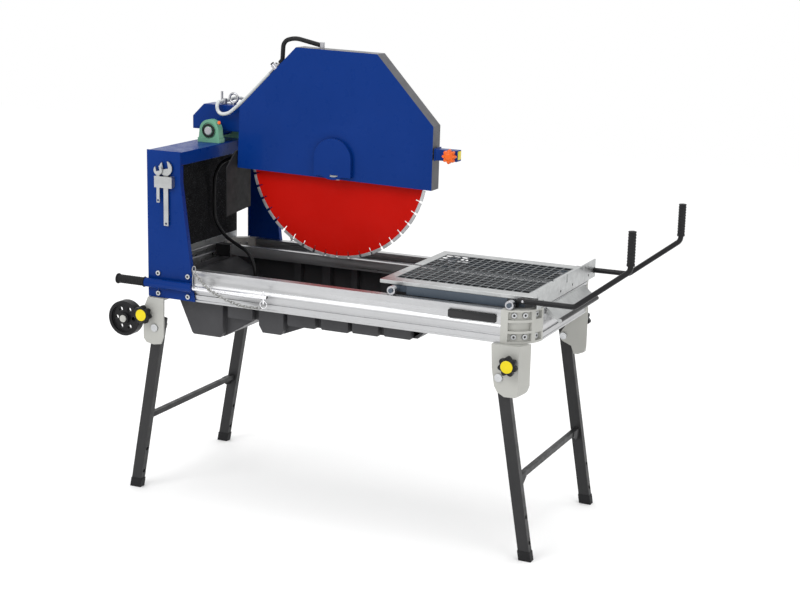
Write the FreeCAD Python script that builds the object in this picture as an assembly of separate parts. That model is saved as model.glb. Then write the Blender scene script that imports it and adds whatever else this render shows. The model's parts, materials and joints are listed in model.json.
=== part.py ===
import FreeCAD, Part
import math
import os

# Masonry saw: rolling table, tilting blade head and folding legs on an aluminium frame.
# Millimetres.  X runs along the frame towards the operator, Y across it, Z up.
# The model is built with the blade's axle above x = 0 and moved to its origin at the end.

# Blade and head
bladeDiameter = 700.0
bladeCoreThickness = 3.6
segmentThickness = 4.6
segmentDepth = 11.0
segmentCount = 46
segmentGap = 9.0
bladeBelowTable = 11.0
spindleRadius = 20.0
flangeRadius = 65.0
flangeThickness = 9.0
guardNearY = -45.0
guardDepth = 60.0
guardSheet = 3.0
guardTilt = 1.3
guardSideClearance = 33.0
guardTopClearance = 44.0
guardSkirt = 56.0
pivotBehindGuard = 122.0
pivotShaftRadius = 15.0
pivotHeightOverBeam = 43.0
armDepth = 76.0
armSheet = 6.0
armGap = 1.0
motorFromPivot = 290.0
motorOverSpindle = 158.0
motorShaftRadius = 14.0
motorRadius = 86.0
motorLength = 226.0
motorPulleyRadius = 45.0
bladePulleyRadius = 55.0
beltThickness = 6.0
beltWidth = 24.0

# Frame
frameLength = 1489.0
frameHalfWidth = 327.0
railTopZ = 848.0
railHeight = 112.0
railThickness = 30.0
cornerRadius = 108.0
cornerThickness = 28.0
railWall = 4.0
railBehindPivot = 112.0

# Posts and cross beam
postSheet = 5.0
postFlange = 15.0
postHeight = 416.0
beamHeight = 46.0
beamWall = 5.0

# Legs
legWidth = 40.0
legThickness = 25.0
legWall = 2.5
legLean = 9.8
legTopOverPivot = 30.0
legBoltRadius = 8.0
crossbarSize = 18.0
crossbarWall = 2.0
footHeight = 34.0
footWall = 2.0
footSole = 4.0

# Wheels, knobs and carrying handles
wheelRadius = 64.0
wheelWidth = 36.0
wheelAxleRadius = 8.0
knobRadius = 29.0
knobLobeRadius = 8.0
knobLobes = 7
knobDepth = 26.0
knobCapRadius = 22.5
carryRodRadius = 9.0
carryRodReach = 301.0
carrySleeveRadius = 16.5
carryGripRadius = 15.0
carryGripLength = 118.0

# Table
tableLength = 565.0
tableOverRail = 40.0
tableEdgeHeight = 13.0
tableSideBorder = 52.0
tableRearBorder = 34.0
tableFrontBorder = 48.0
tableSheet = 3.0
bladeSlotHalfWidth = 9.0
meshBarWidth = 3.0
meshBarHeight = 3.5
meshPitch = 30.0
fenceThickness = 5.0
fenceOverTable = 27.0
fenceOverhang = 30.0
fenceHolesY = (-60.0, 60.0, -230.0, 230.0)
fenceHoleDrop = 19.0
rollerRadius = 15.0
rollerWidth = 22.0
rollerAxleRadius = 5.0
rollerGrooveWall = 2.5
guideBarY = 150.0
guideBarThickness = 20.0
guideBarHeight = 40.0
guideBarWall = 3.0
handleRodRadius = 9.0
handleGripRadius = 13.5

# Water tray
trayDeepLength = 1065.0
trayWall = 4.0
trayEndGap = 12.0

# Clearances
runningFit = 0.05
rollingGap = 0.3
boltClearance = 0.3
slideGap = 0.5
trayGap = 3.0
railEdgeGap = 1.0

# Places along the saw, counted from the blade's axle
bladeRadius = bladeDiameter / 2
guardFarY = guardNearY + guardDepth
pivotX = -bladeRadius - guardSideClearance - pivotBehindGuard
motorX = pivotX + motorFromPivot
frameRearX = pivotX - railBehindPivot
frameFrontX = frameRearX + frameLength
postRearNearX = frameRearX + 32
postRearFarX = frameRearX + 67
postFrontTopX = frameRearX + 169
postFrontFootX = frameRearX + 225
postBoltsX = (frameRearX + 76, frameRearX + 199)
beamRearX = postRearNearX
curtainX = frameRearX + 25
frontLegPivotX = frameFrontX - 100
rearLegPivotX = frameRearX + 65
wheelX = rearLegPivotX - 128
carryRodFrontX = postFrontFootX + carryRodReach
trayRearX = frameRearX + 42
trayStepX = trayRearX + trayDeepLength
trayFrontX = frameFrontX - railThickness - trayEndGap
tableFrontX = frameFrontX - 4
tableRearX = tableFrontX - tableLength
bladeSlotEndX = tableFrontX - 22
rollerRearX = tableRearX + 63
rollerFrontX = tableFrontX - 79
handleBendX = tableFrontX + 132
handleReachX = tableFrontX + 310

# Places across the saw, counted from its middle
endRailHalfY = frameHalfWidth - cornerRadius
postFaceY = frameHalfWidth + postSheet
legPlaneY = frameHalfWidth - 16
housingOuterY = frameHalfWidth + 18
housingInnerY = frameHalfWidth - 40
wheelY = frameHalfWidth + 8
curtainHalfWidth = frameHalfWidth - 27
trayHalfWidth = frameHalfWidth - railThickness - 14
trayCoreHalfWidth = trayHalfWidth - 28
tableHalfWidth = frameHalfWidth - 53
handleY = tableHalfWidth + 16
lipHalfWidth = endRailHalfY - 27

# Heights
railBottomZ = railTopZ - railHeight
tableTopZ = railTopZ + tableOverRail
tableBottomZ = tableTopZ - tableEdgeHeight
fenceTopZ = tableTopZ + fenceOverTable
spindleZ = tableTopZ - bladeBelowTable + bladeRadius
motorZ = spindleZ + motorOverSpindle
postTopZ = railTopZ + postHeight
taperTopZ = postTopZ - 108
beamTopZ = postTopZ - 2
pivotZ = beamTopZ + pivotHeightOverBeam
postBoltsZ = (railBottomZ + 16, railTopZ - 23)
legPivotZ = railBottomZ - 111
crossbarZ = 0.44 * legPivotZ
wheelZ = legPivotZ + 20
carryRodZ = railTopZ - 58
trayRimZ = railTopZ - 48
handleBendZ = railTopZ + 29
handleGripZ = railTopZ + 166
handleTopZ = railTopZ + 294

near = -1
far = 1

V = FreeCAD.Vector
nodes = {}


# ---------- shape helpers ----------

def box(x0, x1, y0, y1, z0, z1):
    lowX, highX = sorted((x0, x1))
    lowY, highY = sorted((y0, y1))
    lowZ, highZ = sorted((z0, z1))
    return Part.makeBox(highX - lowX, highY - lowY, highZ - lowZ, V(lowX, lowY, lowZ))


def rod(start, end, radius):
    return Part.makeCylinder(radius, (end - start).Length, start, end - start)


def rodY(x, z, radius, y0, y1):
    return rod(V(x, y0, z), V(x, y1, z), radius)


def rodX(y, z, radius, x0, x1):
    return rod(V(x0, y, z), V(x1, y, z), radius)


def rodZ(x, y, radius, z0, z1):
    return rod(V(x, y, z0), V(x, y, z1), radius)


def ringY(x, z, outer, inner, y0, y1):
    return rodY(x, z, outer, y0, y1).cut(rodY(x, z, inner, y0 - 1, y1 + 1))


def plateY(points, y0, y1):
    """Outline of (x, z) points, pushed from y0 to y1."""
    corners = [V(x, y0, z) for x, z in points]
    face = Part.Face(Part.makePolygon(corners + corners[:1]))
    return face.extrude(V(0, y1 - y0, 0))


def plateX(points, x0, x1):
    """Outline of (y, z) points, pushed from x0 to x1."""
    corners = [V(x0, y, z) for y, z in points]
    face = Part.Face(Part.makePolygon(corners + corners[:1]))
    return face.extrude(V(x1 - x0, 0, 0))


def joined(shapes):
    return shapes[0].fuse(shapes[1:]).removeSplitter()


def grouped(shapes):
    return Part.makeCompound(shapes)


def acrossY(shape):
    return shape.mirror(V(0, 0, 0), V(0, 1, 0))


def turnedY(shape, x, z, degrees):
    """Turned about a line along Y, positive lifting what lies towards +X."""
    turned = shape.copy()
    turned.rotate(V(x, 0, z), V(0, -1, 0), degrees)
    return turned


def onSide(shape, side):
    """A shape made for the near side, put on the side asked for."""
    return shape if side == near else acrossY(shape)


def bentTube(points, radius, bendRadius):
    """Round rod along straight runs joined by arcs that touch both runs."""
    edges = []
    start = points[0]
    for before, corner, after in zip(points, points[1:], points[2:]):
        inward = (before - corner).normalize()
        outward = (after - corner).normalize()
        halfTurn = (math.pi - inward.getAngle(outward)) / 2
        setback = bendRadius * math.tan(halfTurn)
        arcStart = corner + inward * setback
        arcEnd = corner + outward * setback
        middle = (inward + outward).normalize()
        centre = corner + middle * (bendRadius / math.cos(halfTurn))
        arcMiddle = centre - middle * bendRadius
        edges.append(Part.LineSegment(start, arcStart).toShape())
        edges.append(Part.Arc(arcStart, arcMiddle, arcEnd).toShape())
        start = arcEnd
    edges.append(Part.LineSegment(start, points[-1]).toShape())
    path = Part.Wire(edges)
    section = Part.Wire(Part.Circle(points[0], points[1] - points[0], radius).toShape())
    return path.makePipeShell([section], True, False)


def hoseTube(points, radius):
    """Hose along its route: each arc as large as the runs beside it allow."""
    edges = []
    start = points[0]
    for before, corner, after in zip(points, points[1:], points[2:]):
        inward = before - corner
        outward = after - corner
        shorter = min(inward.Length, outward.Length)
        inward.normalize()
        outward.normalize()
        halfTurn = (math.pi - inward.getAngle(outward)) / 2
        setback = 0.45 * shorter
        arcRadius = setback / math.tan(halfTurn)
        print("hose arc radius", round(arcRadius, 1))
        arcStart = corner + inward * setback
        arcEnd = corner + outward * setback
        middle = (inward + outward).normalize()
        centre = corner + middle * (arcRadius / math.cos(halfTurn))
        arcMiddle = centre - middle * arcRadius
        edges.append(Part.LineSegment(start, arcStart).toShape())
        edges.append(Part.Arc(arcStart, arcMiddle, arcEnd).toShape())
        start = arcEnd
    edges.append(Part.LineSegment(start, points[-1]).toShape())
    path = Part.Wire(edges)
    section = Part.Wire(Part.Circle(points[0], points[1] - points[0], radius).toShape())
    tube = path.makePipeShell([section], True, False)
    sectionVolume = math.pi * radius ** 2 * path.Length
    print("hose length", round(path.Length), "volume ratio", round(tube.Volume / sectionVolume, 4))
    return tube


# ---------- frame ----------

sideRailRearX = frameRearX + cornerRadius
sideRailFrontX = frameFrontX - cornerRadius

M10Radius = 5.0
boltHeadRadius = 9.0
boltHeadHeight = 6.5
bolts = []
boltHoles = []


def addBolt(seat, direction, length):
    """Bolt whose head stands on seat and whose shank runs the other way."""
    out = V(direction).normalize()
    head = Part.makeCylinder(boltHeadRadius, boltHeadHeight, seat, out)
    shank = Part.makeCylinder(M10Radius, length, seat, out * -1)
    bolts.append(head.fuse(shank))
    boltHoles.append(Part.makeCylinder(M10Radius + boltClearance, length + 1, seat, out * -1))


def railOutline():
    """Section of the extrusion as (depth from its outer face, height from its top)."""
    h = railHeight
    ridge = 0.52 * h
    groove = 0.72 * h
    outside = [(0, 0), (0, -7), (3, -12), (3.6, -ridge + 6), (0, -ridge), (0, -ridge - 9),
               (3, -ridge - 14), (3, -groove), (7, -groove - 1.5), (7, -groove - 6), (2, -groove - 7.5),
               (2, -h + 8), (0, -h + 6), (0, -h)]
    inside = [(railThickness, -h), (railThickness, -h + 12), (railThickness - 3, -h + 14),
              (railThickness - 3, -h + 44), (railThickness, -h + 46), (railThickness, -30),
              (railThickness - 3, -28), (railThickness - 3, -14), (railThickness, -12), (railThickness, 0)]
    return outside + inside


def railChambers():
    """Two hollow chambers of the extrusion, as (depth, height) corners."""
    outer = 7 + railWall
    inner = railThickness - 3 - railWall
    web = -0.46 * railHeight
    upper = [(outer, -railWall - 1), (outer, web), (inner, web), (inner, -railWall - 1)]
    lower = [(outer, web - railWall), (outer, -railHeight + railWall + 1),
             (inner, -railHeight + railWall + 1), (inner, web - railWall)]
    return [upper, lower]


def sideRail(side):
    def placed(points):
        return [(side * (frameHalfWidth - depth), railTopZ + height) for depth, height in points]
    rail = plateX(placed(railOutline()), sideRailRearX, sideRailFrontX)
    for chamber in railChambers():
        rail = rail.cut(plateX(placed(chamber), sideRailRearX - 1, sideRailFrontX + 1))
    return rail


def endRail(outerX, inward):
    def placed(points):
        return [(outerX + inward * depth, railTopZ + height) for depth, height in points]
    rail = plateY(placed(railOutline()), -endRailHalfY, endRailHalfY)
    for chamber in railChambers():
        rail = rail.cut(plateY(placed(chamber), -endRailHalfY - 1, endRailHalfY + 1))
    return rail


pocketDepth = 13.0
pocketAngles = (13.0, 57.0)
clampAngles = (66.0, 84.0)
pocketHeights = ((railTopZ - 33, railTopZ - 6), (railBottomZ + 42, railTopZ - 42),
                 (railBottomZ + 7, railBottomZ + 34))


def sector(x, y, z0, z1, outer, inner, startAngle, endAngle):
    """Ring sector about Z; angles in degrees from +X towards +Y."""
    span = endAngle - startAngle
    disc = Part.makeCylinder(outer, z1 - z0, V(x, y, z0), V(0, 0, 1), span)
    disc = disc.cut(rodZ(x, y, inner, z0 - 1, z1 + 1))
    disc.rotate(V(x, y, 0), V(0, 0, 1), startAngle)
    return disc


def cornerCasting(end, side):
    """Rounded corner between a side rail and an end rail, with ribs between bolt pockets."""
    endX = frameFrontX if end > 0 else frameRearX
    x = endX - end * cornerRadius
    y = side * (frameHalfWidth - cornerRadius)
    quarter = {(1, -1): 270, (1, 1): 0, (-1, 1): 90, (-1, -1): 180}[(end, side)]
    # angles are counted from the side rail towards the end rail
    fromSide = end * side < 0

    def angles(low, high):
        if fromSide:
            return quarter + low, quarter + high
        return quarter + 90 - high, quarter + 90 - low

    casting = sector(x, y, railBottomZ, railTopZ, cornerRadius, cornerRadius - cornerThickness, quarter,
                     quarter + 90)
    cuts = []
    for z0, z1 in pocketHeights:
        first, last = angles(*pocketAngles)
        cuts.append(sector(x, y, z0, z1, cornerRadius + 5, cornerRadius - pocketDepth, first, last))
    for z0, z1 in (pocketHeights[0], pocketHeights[2]):
        first, last = angles(*clampAngles)
        cuts.append(sector(x, y, z0, z1, cornerRadius + 5, cornerRadius - pocketDepth, first, last))
    seatRadius = cornerRadius - pocketDepth - 2
    for z0, z1 in (pocketHeights[0], pocketHeights[2]):
        for low in (24.0, 46.0, 75.0):
            angle = math.radians(angles(low, low)[0])
            out = V(math.cos(angle), math.sin(angle), 0)
            seat = V(x, y, (z0 + z1) / 2) + out * seatRadius
            cuts.append(Part.makeCylinder(boltHeadRadius + 1.5, 20, seat, out))
            addBolt(seat, out, 22)
    return casting.cut(cuts)


def makeFrame():
    nodes["side_rail_near"] = sideRail(near)
    nodes["side_rail_far"] = sideRail(far)
    nodes["end_rail_front"] = endRail(frameFrontX, -1)
    nodes["end_rail_rear"] = endRail(frameRearX, 1)
    for end, endName in ((1, "front"), (-1, "rear")):
        for side, sideName in ((near, "near"), (far, "far")):
            nodes["corner_" + endName + "_" + sideName] = cornerCasting(end, side)


# ---------- legs and their housings ----------

housingWall = 7.0
housingDrop = 63.0
housingTopZ = railBottomZ - 0.5


# Sizes of a leg housing, counted from the leg's pivot, positive towards the saw's end
frontCheekReach = 87.0
frontFlatReach = 66.0
frontRoom = 57.0
rearCheekReach = 52.0
rearFlatReach = 48.0
rearRoom = 42.0


def frontHousingOutline():
    x = frontLegPivotX
    end = x + frontCheekReach
    return [(x - 30, housingTopZ), (end, housingTopZ), (end, legPivotZ - 30), (end - 8, legPivotZ - 52),
            (x + 56, legPivotZ - housingDrop + 1), (x + 20, legPivotZ - housingDrop),
            (x - 4, legPivotZ - 50), (x - 16, legPivotZ - 30), (x - 26, legPivotZ + 30)]


def rearHousingOutline():
    x = rearLegPivotX
    end = x - rearCheekReach
    return [(x + 38, housingTopZ), (x - 28, housingTopZ), (end + 2, legPivotZ + 60), (end, legPivotZ),
            (end + 3, legPivotZ - 42), (end + 16, legPivotZ - 58), (x - 6, legPivotZ - housingDrop),
            (x + 24, legPivotZ - 58), (x + 36, legPivotZ - 30)]


def housing(outline, pivot, outward, flatReach, cheekReach, room):
    """Cast fork for a leg: outer cheek, slanted end wall, and an inner cheek that bares the leg's top."""
    body = plateY(outline, -housingOuterY, -housingInnerY)
    innerFace = -housingInnerY - housingWall
    body = body.cut(box(pivot - outward * 120, pivot + outward * room, -housingOuterY + housingWall,
                        innerFace, legPivotZ - housingDrop - 1, housingTopZ - housingWall))
    outside = cheekReach + 1
    corners = [(flatReach, -housingOuterY - 1), (outside, -housingOuterY - 1), (outside, -housingInnerY)]
    slant = [V(pivot + outward * reach, y, legPivotZ - 200) for reach, y in corners]
    body = body.cut(Part.Face(Part.makePolygon(slant + slant[:1])).extrude(V(0, 0, 400)))
    bared = [(-60, 120 - housingWall), (17, 120 - housingWall), (17, 58), (-10, 14), (-15, 4), (-15, -8),
             (-4, -20), (30, -34), (40, -61), (40, -90), (-60, -90)]
    bared = [(pivot + outward * x, min(legPivotZ + z, housingTopZ - housingWall)) for x, z in bared]
    body = body.cut(plateY(bared, innerFace - 0.5, -housingInnerY + 1))
    return body.cut(rodY(pivot, legPivotZ, legBoltRadius + boltClearance, -housingOuterY - 1,
                         -housingInnerY + 1))


frontKnobX = frontLegPivotX + 39.0
rearKnobX = rearLegPivotX - 35.0
knobZ = legPivotZ + 49.0
knobStudRadius = 5.0
knobFaceY = housingOuterY + 11.0


def lockKnob(x, z):
    """Seven-lobed star knob with its cap, hub and stud, made for the near side."""
    y0 = -knobFaceY
    y1 = y0 - knobDepth
    shapes = [rodY(x, z, knobRadius, y1, y0)]
    for i in range(knobLobes):
        angle = 2 * math.pi * (i + 0.5) / knobLobes
        lobeX = x + knobRadius * math.cos(angle)
        lobeZ = z + knobRadius * math.sin(angle)
        shapes.append(rodY(lobeX, lobeZ, knobLobeRadius, y1, y0))
    shapes.append(rodY(x, z, 15, y0, -housingOuterY - slideGap))
    shapes.append(rodY(x, z, knobStudRadius, -housingOuterY - slideGap, -housingOuterY + housingWall + 6))
    knob = joined(shapes).cut(rodY(x, z, knobCapRadius + 0.1, y1 - 1, y1 + 3))
    cap = rodY(x, z, knobCapRadius, y1 - 2, y1 + 3)
    return grouped([knob, cap])


def legTube(pivot, outward, oversize, bottomZ):
    """Leaning bar of the leg, grown by oversize on each face, cut level at bottomZ."""
    half = legWidth / 2 + oversize
    halfDeep = legThickness / 2 + oversize
    bar = box(pivot - half, pivot + half, -legPlaneY - halfDeep, -legPlaneY + halfDeep, -60,
              legPivotZ + legTopOverPivot)
    bar = turnedY(bar, pivot, legPivotZ, outward * legLean)
    return bar.cut(box(pivot - 400, pivot + 400, -legPlaneY - 50, 0, -200, bottomZ))


def legFrame(pivot, outward):
    outer = legTube(pivot, outward, 0, footSole)
    hollow = legTube(pivot, outward, -legWall, -150)
    tube = outer.cut(hollow)
    tube = tube.cut(rodY(pivot, legPivotZ, legBoltRadius + runningFit, -housingOuterY, -housingInnerY))
    lean = math.tan(math.radians(legLean))
    for z in (62.0, 150.0):
        x = pivot + outward * (legPivotZ - z) * lean
        tube = tube.cut(rodX(-legPlaneY, z, 7, x - 60, x + 60))
    crossX = pivot + outward * (legPivotZ - crossbarZ) * lean
    half = crossbarSize / 2
    innerY = legPlaneY - legThickness / 2
    bar = box(crossX - half, crossX + half, -innerY, innerY, crossbarZ - half, crossbarZ + half)
    inside = half - crossbarWall
    bar = bar.cut(box(crossX - inside, crossX + inside, -innerY - 1, innerY + 1, crossbarZ - inside,
                      crossbarZ + inside))
    gusset = plateX([(-innerY, crossbarZ + half), (-innerY + 58, crossbarZ + half),
                     (-innerY + 58, crossbarZ - half),
                     (-innerY + 30, crossbarZ - half - 18), (-innerY, crossbarZ - half - 22)],
                    crossX + outward * half, crossX + outward * (half + 3))
    return joined([tube, acrossY(tube), bar, gusset, acrossY(gusset)])


def legCaps(pivot, outward):
    """Rubber feet and the plugs in the upper ends of both legs."""
    shell = legTube(pivot, outward, footWall, 0)
    shell = shell.common(box(pivot - 400, pivot + 400, -legPlaneY - 50, 0, 0, footHeight))
    foot = shell.cut(legTube(pivot, outward, 0, footSole))
    top = legPivotZ + legTopOverPivot
    plug = box(pivot - legWidth / 2, pivot + legWidth / 2, -legPlaneY - legThickness / 2,
               -legPlaneY + legThickness / 2, top, top + 4)
    plug = turnedY(plug, pivot, legPivotZ, outward * legLean)
    return grouped([foot, acrossY(foot), plug, acrossY(plug)])


def pivotBolt(pivot):
    shank = rodY(pivot, legPivotZ, legBoltRadius, -housingOuterY, -housingInnerY)
    head = rodY(pivot, legPivotZ, 14, -housingOuterY - 6, -housingOuterY)
    nut = rodY(pivot, legPivotZ, 13, -housingInnerY, -housingInnerY + 6)
    return joined([shank, head, nut])


def makeLegs():
    frontHousing = housing(frontHousingOutline(), frontLegPivotX, 1, frontFlatReach, frontCheekReach,
                           frontRoom)
    rearHousing = housing(rearHousingOutline(), rearLegPivotX, -1, rearFlatReach, rearCheekReach, rearRoom)
    studHole = knobStudRadius + boltClearance
    frontHousing = frontHousing.cut(rodY(frontKnobX, knobZ, studHole, -housingOuterY - 1,
                                         -housingOuterY + 20))
    rearHousing = rearHousing.cut(rodY(rearKnobX, knobZ, studHole, -housingOuterY - 1, -housingOuterY + 20))
    lugY = -wheelY + wheelWidth / 2 + 6
    lug = box(wheelX - 16, rearLegPivotX - 40, lugY, lugY + 10, wheelZ - 18, wheelZ + 18)
    lug = lug.fuse(rodY(wheelX, wheelZ, 18, lugY, lugY + 10))
    lug = lug.cut(box(rearLegPivotX - rearRoom - 2, rearLegPivotX, lugY - 1, lugY + 11, wheelZ - 30,
                      wheelZ + 30))
    axle = rodY(wheelX, wheelZ, wheelAxleRadius, -wheelY - wheelWidth / 2 - 1, lugY)
    axleHead = rodY(wheelX, wheelZ, 13, -wheelY - wheelWidth / 2 - 6, -wheelY - wheelWidth / 2 - 1)
    rearHousing = joined([rearHousing, lug, axle, axleHead])
    for name, made in (("front", frontHousing), ("rear", rearHousing)):
        nodes["leg_housing_" + name + "_near"] = made
        nodes["leg_housing_" + name + "_far"] = acrossY(made)
    allPivots = []
    for pivot in (frontLegPivotX, rearLegPivotX):
        allPivots += [pivotBolt(pivot), acrossY(pivotBolt(pivot))]
    nodes["leg_pivot_bolts"] = grouped(allPivots)
    nodes["leg_frame_front"] = legFrame(frontLegPivotX, 1)
    nodes["leg_frame_rear"] = legFrame(rearLegPivotX, -1)
    nodes["leg_caps_front"] = legCaps(frontLegPivotX, 1)
    nodes["leg_caps_rear"] = legCaps(rearLegPivotX, -1)
    nodes["lock_knob_front_near"] = lockKnob(frontKnobX, knobZ)
    nodes["lock_knob_front_far"] = acrossY(lockKnob(frontKnobX, knobZ))
    nodes["lock_knob_rear_near"] = lockKnob(rearKnobX, knobZ)
    nodes["lock_knob_rear_far"] = acrossY(lockKnob(rearKnobX, knobZ))


def transportWheel():
    y0 = -wheelY - wheelWidth / 2
    y1 = -wheelY + wheelWidth / 2
    tread = ringY(wheelX, wheelZ, wheelRadius, wheelRadius - 12, y0, y1)
    web = rodY(wheelX, wheelZ, wheelRadius - 11, y0 + 10, y1 - 10)
    hub = rodY(wheelX, wheelZ, 20, y0, y1)
    wheel = joined([tread, web, hub])
    for i in range(6):
        angle = math.radians(60 * i)
        wheel = wheel.cut(rodY(wheelX + 36 * math.cos(angle), wheelZ + 36 * math.sin(angle), 8, y0, y1))
    return wheel.cut(rodY(wheelX, wheelZ, wheelAxleRadius + runningFit, y0 - 1, y1 + 1))


# ---------- posts, beam and pivot ----------

carryRodY = postFaceY + carrySleeveRadius - 0.5
sleeveFrontX = postFrontFootX


def post(side, rearX):
    """Folded post: a plate bolted outside the rail, with flanges turned inwards above it."""
    face = frameHalfWidth
    outline = [(rearX, railBottomZ), (rearX, postTopZ), (postFrontTopX, postTopZ),
               (postFrontTopX, taperTopZ),
               (postFrontFootX, railBottomZ)]
    plate = plateY(outline, -face - postSheet, -face)
    flangeLow = railTopZ + 2
    flangeHigh = postTopZ - beamHeight - 3
    slope = (postFrontFootX - postFrontTopX) / (taperTopZ - railBottomZ)
    lowX = postFrontTopX + slope * (taperTopZ - flangeLow)
    frontFlange = plateY([(lowX, flangeLow), (postFrontTopX, taperTopZ), (postFrontTopX, flangeHigh),
                          (postFrontTopX - postSheet, flangeHigh), (postFrontTopX - postSheet, taperTopZ),
                          (lowX - postSheet, flangeLow)], -face, -face + postFlange)
    rearFlange = box(rearX, rearX + postSheet, -face, -face + postFlange, flangeLow, flangeHigh)
    sleeve = rodX(-carryRodY, carryRodZ, carrySleeveRadius, rearX, sleeveFrontX)
    made = joined([plate, frontFlange, rearFlange, sleeve])
    made = made.cut(rodX(-carryRodY, carryRodZ, carryRodRadius + runningFit, rearX - 1, sleeveFrontX + 10))
    return onSide(made, side)


def pillowBlock(y0, y1):
    half = 46.0
    base = box(pivotX - half, pivotX + half, y0, y1, beamTopZ, beamTopZ + 16)
    middle = plateY([(pivotX - half + 3, beamTopZ + 16), (pivotX - 38, pivotZ + 12),
                     (pivotX + 38, pivotZ + 12),
                     (pivotX + half - 3, beamTopZ + 16)], y0 + 2, y1 - 2)
    crown = rodY(pivotX, pivotZ, 40, y0 + 2, y1 - 2)
    block = joined([base, middle, crown])
    return block.cut(rodY(pivotX, pivotZ, 29, y0 - 1, y1 + 1))


def bearingInsert(y0, y1):
    outer = rodY(pivotX, pivotZ, 29, y0 + 6, y1 - 6)
    collar = rodY(pivotX, pivotZ, 21, y0 - 1, y1 + 1)
    return joined([outer, collar]).cut(rodY(pivotX, pivotZ, pivotShaftRadius + runningFit, y0 - 2, y1 + 2))


armNearY = guardFarY + armGap
armFarY = armNearY + armDepth
blockNear = (armNearY - 66, armNearY - 30)
blockFar = (armFarY + 16, armFarY + 52)


def carryHandle(postRearX):
    """Pull-out carrying handle: rod, grip, and the lock pin through its free end."""
    y = -carryRodY
    gripFront = postRearX - 2
    gripRear = gripFront - carryGripLength
    bar = rodX(y, carryRodZ, carryRodRadius, gripRear + 8, carryRodFrontX)
    pinX = carryRodFrontX - 14
    pinHole = rodZ(pinX, y, 3.5, carryRodZ - 30, carryRodZ + 30)
    bar = bar.cut(pinHole)
    flare = carryGripRadius + 4
    grip = joined([rodX(y, carryRodZ, carryGripRadius, gripRear, gripFront),
                   rodX(y, carryRodZ, flare, gripRear, gripRear + 7),
                   rodX(y, carryRodZ, flare, gripFront - 6, gripFront)])
    grip = grip.cut(rodX(y, carryRodZ, carryRodRadius, gripRear + 8, gripFront + 1))
    pin = rodZ(pinX, y, 3.4, carryRodZ - 24, carryRodZ + 22)
    eye = Part.makeTorus(13, 1.8, V(pinX, y, carryRodZ - 26), V(0, 1, 0))
    return grouped([bar, grip, pin.fuse(eye)])


def makePosts():
    nodes["post_near"] = post(near, postRearNearX)
    nodes["post_far"] = post(far, postRearFarX)
    beam = box(beamRearX, postFrontTopX, -frameHalfWidth, frameHalfWidth, beamTopZ - beamHeight, beamTopZ)
    hollow = box(beamRearX + beamWall, postFrontTopX - beamWall, -frameHalfWidth + beamWall,
                 frameHalfWidth - beamWall, beamTopZ - beamHeight + beamWall, beamTopZ - beamWall)
    nodes["cross_beam"] = beam.cut(hollow)
    nodes["pillow_blocks"] = grouped([pillowBlock(*blockNear), pillowBlock(*blockFar)])
    nodes["bearing_inserts"] = grouped([bearingInsert(*blockNear), bearingInsert(*blockFar)])
    for side in (near, far):
        for z in postBoltsZ:
            for x in postBoltsX:
                addBolt(V(x, side * postFaceY, z), V(0, side, 0), 15)
    nodes["carry_handle_near"] = carryHandle(postRearNearX)
    nodes["carry_handle_far"] = acrossY(carryHandle(postRearFarX))
    nodes["transport_wheel_near"] = transportWheel()
    nodes["transport_wheel_far"] = acrossY(transportWheel())


# ---------- curtain, tray and guide rail ----------

def makeCurtain():
    nodes["splash_curtain"] = box(curtainX - 4, curtainX, -curtainHalfWidth, curtainHalfWidth,
                                  railTopZ + 1, beamTopZ - 6)
    stripLow = railTopZ + 1
    strip = box(curtainX, curtainX + 4, -curtainHalfWidth + 6, curtainHalfWidth - 6, stripLow,
                stripLow + 24)
    topStrip = box(curtainX, beamRearX, -curtainHalfWidth + 6, curtainHalfWidth - 6, beamTopZ - 36,
                   beamTopZ - 10)
    nodes["curtain_strips"] = grouped([strip, topStrip])


def trayCore(inset):
    """Middle of the tray: rear slope, deep sump, second hollow, shallow part and front shelf."""
    i = inset
    deepest = trayRimZ - 196
    shallow = trayRimZ - 119
    second = trayRimZ - 156
    shelf = railBottomZ + 8
    x = trayRearX
    low = [(x + i, trayRimZ), (x + i, trayRimZ - 18 + i), (x + 135 + i, trayRimZ - 84 + i),
           (x + 151 + i, deepest + i),
           (x + 259 - i / 2, deepest + i), (x + 389, shallow + i), (x + 409, shallow + i),
           (x + 446 + i / 2, second + i),
           (x + 503 - i / 2, second + i), (x + 595, shallow + i), (x + 879, shallow + 7 + i),
           (trayStepX - 50, shallow + 11 + i), (trayStepX, shelf + i), (trayFrontX - i, shelf + i),
           (trayFrontX - i, trayRimZ)]
    return plateY(low, -trayCoreHalfWidth + i, trayCoreHalfWidth - i)


# Bulges of the side walls: start, end and depth, counted from the tray's rear end and rim,
# then the size of the cut rear corner and how far the rear wall leans out per millimetre of height
trayCells = ((144, 268, 195, 6, 0.45), (289, 389, 118, 5, 0), (415, 513, 155, 26, 0), (529, 637, 117, 5, 0),
             (661, 765, 115, 5, 0), (781, 879, 112, 5, 0), (901, 1000, 108, 5, 0))


def trayCell(start, end, depth, rearCut, lean, inset):
    """One bulge of the side walls, with its lower corners cut off when it is deep."""
    i = inset
    x0 = trayRearX + start + i
    x1 = trayRearX + end - i
    highZ = trayRimZ - 20
    bottomZ = trayRimZ - depth + i
    chamfer = 26 if depth > 140 else 5
    return plateY([(x0 - lean * (highZ - bottomZ), highZ), (x0 - lean * rearCut, bottomZ + rearCut),
                   (x0 + rearCut * 0.6, bottomZ),
                   (x1 - chamfer * 0.4, bottomZ), (x1, bottomZ + chamfer * 0.6), (x1, highZ)],
                  -trayHalfWidth + i, trayHalfWidth - i)


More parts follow.
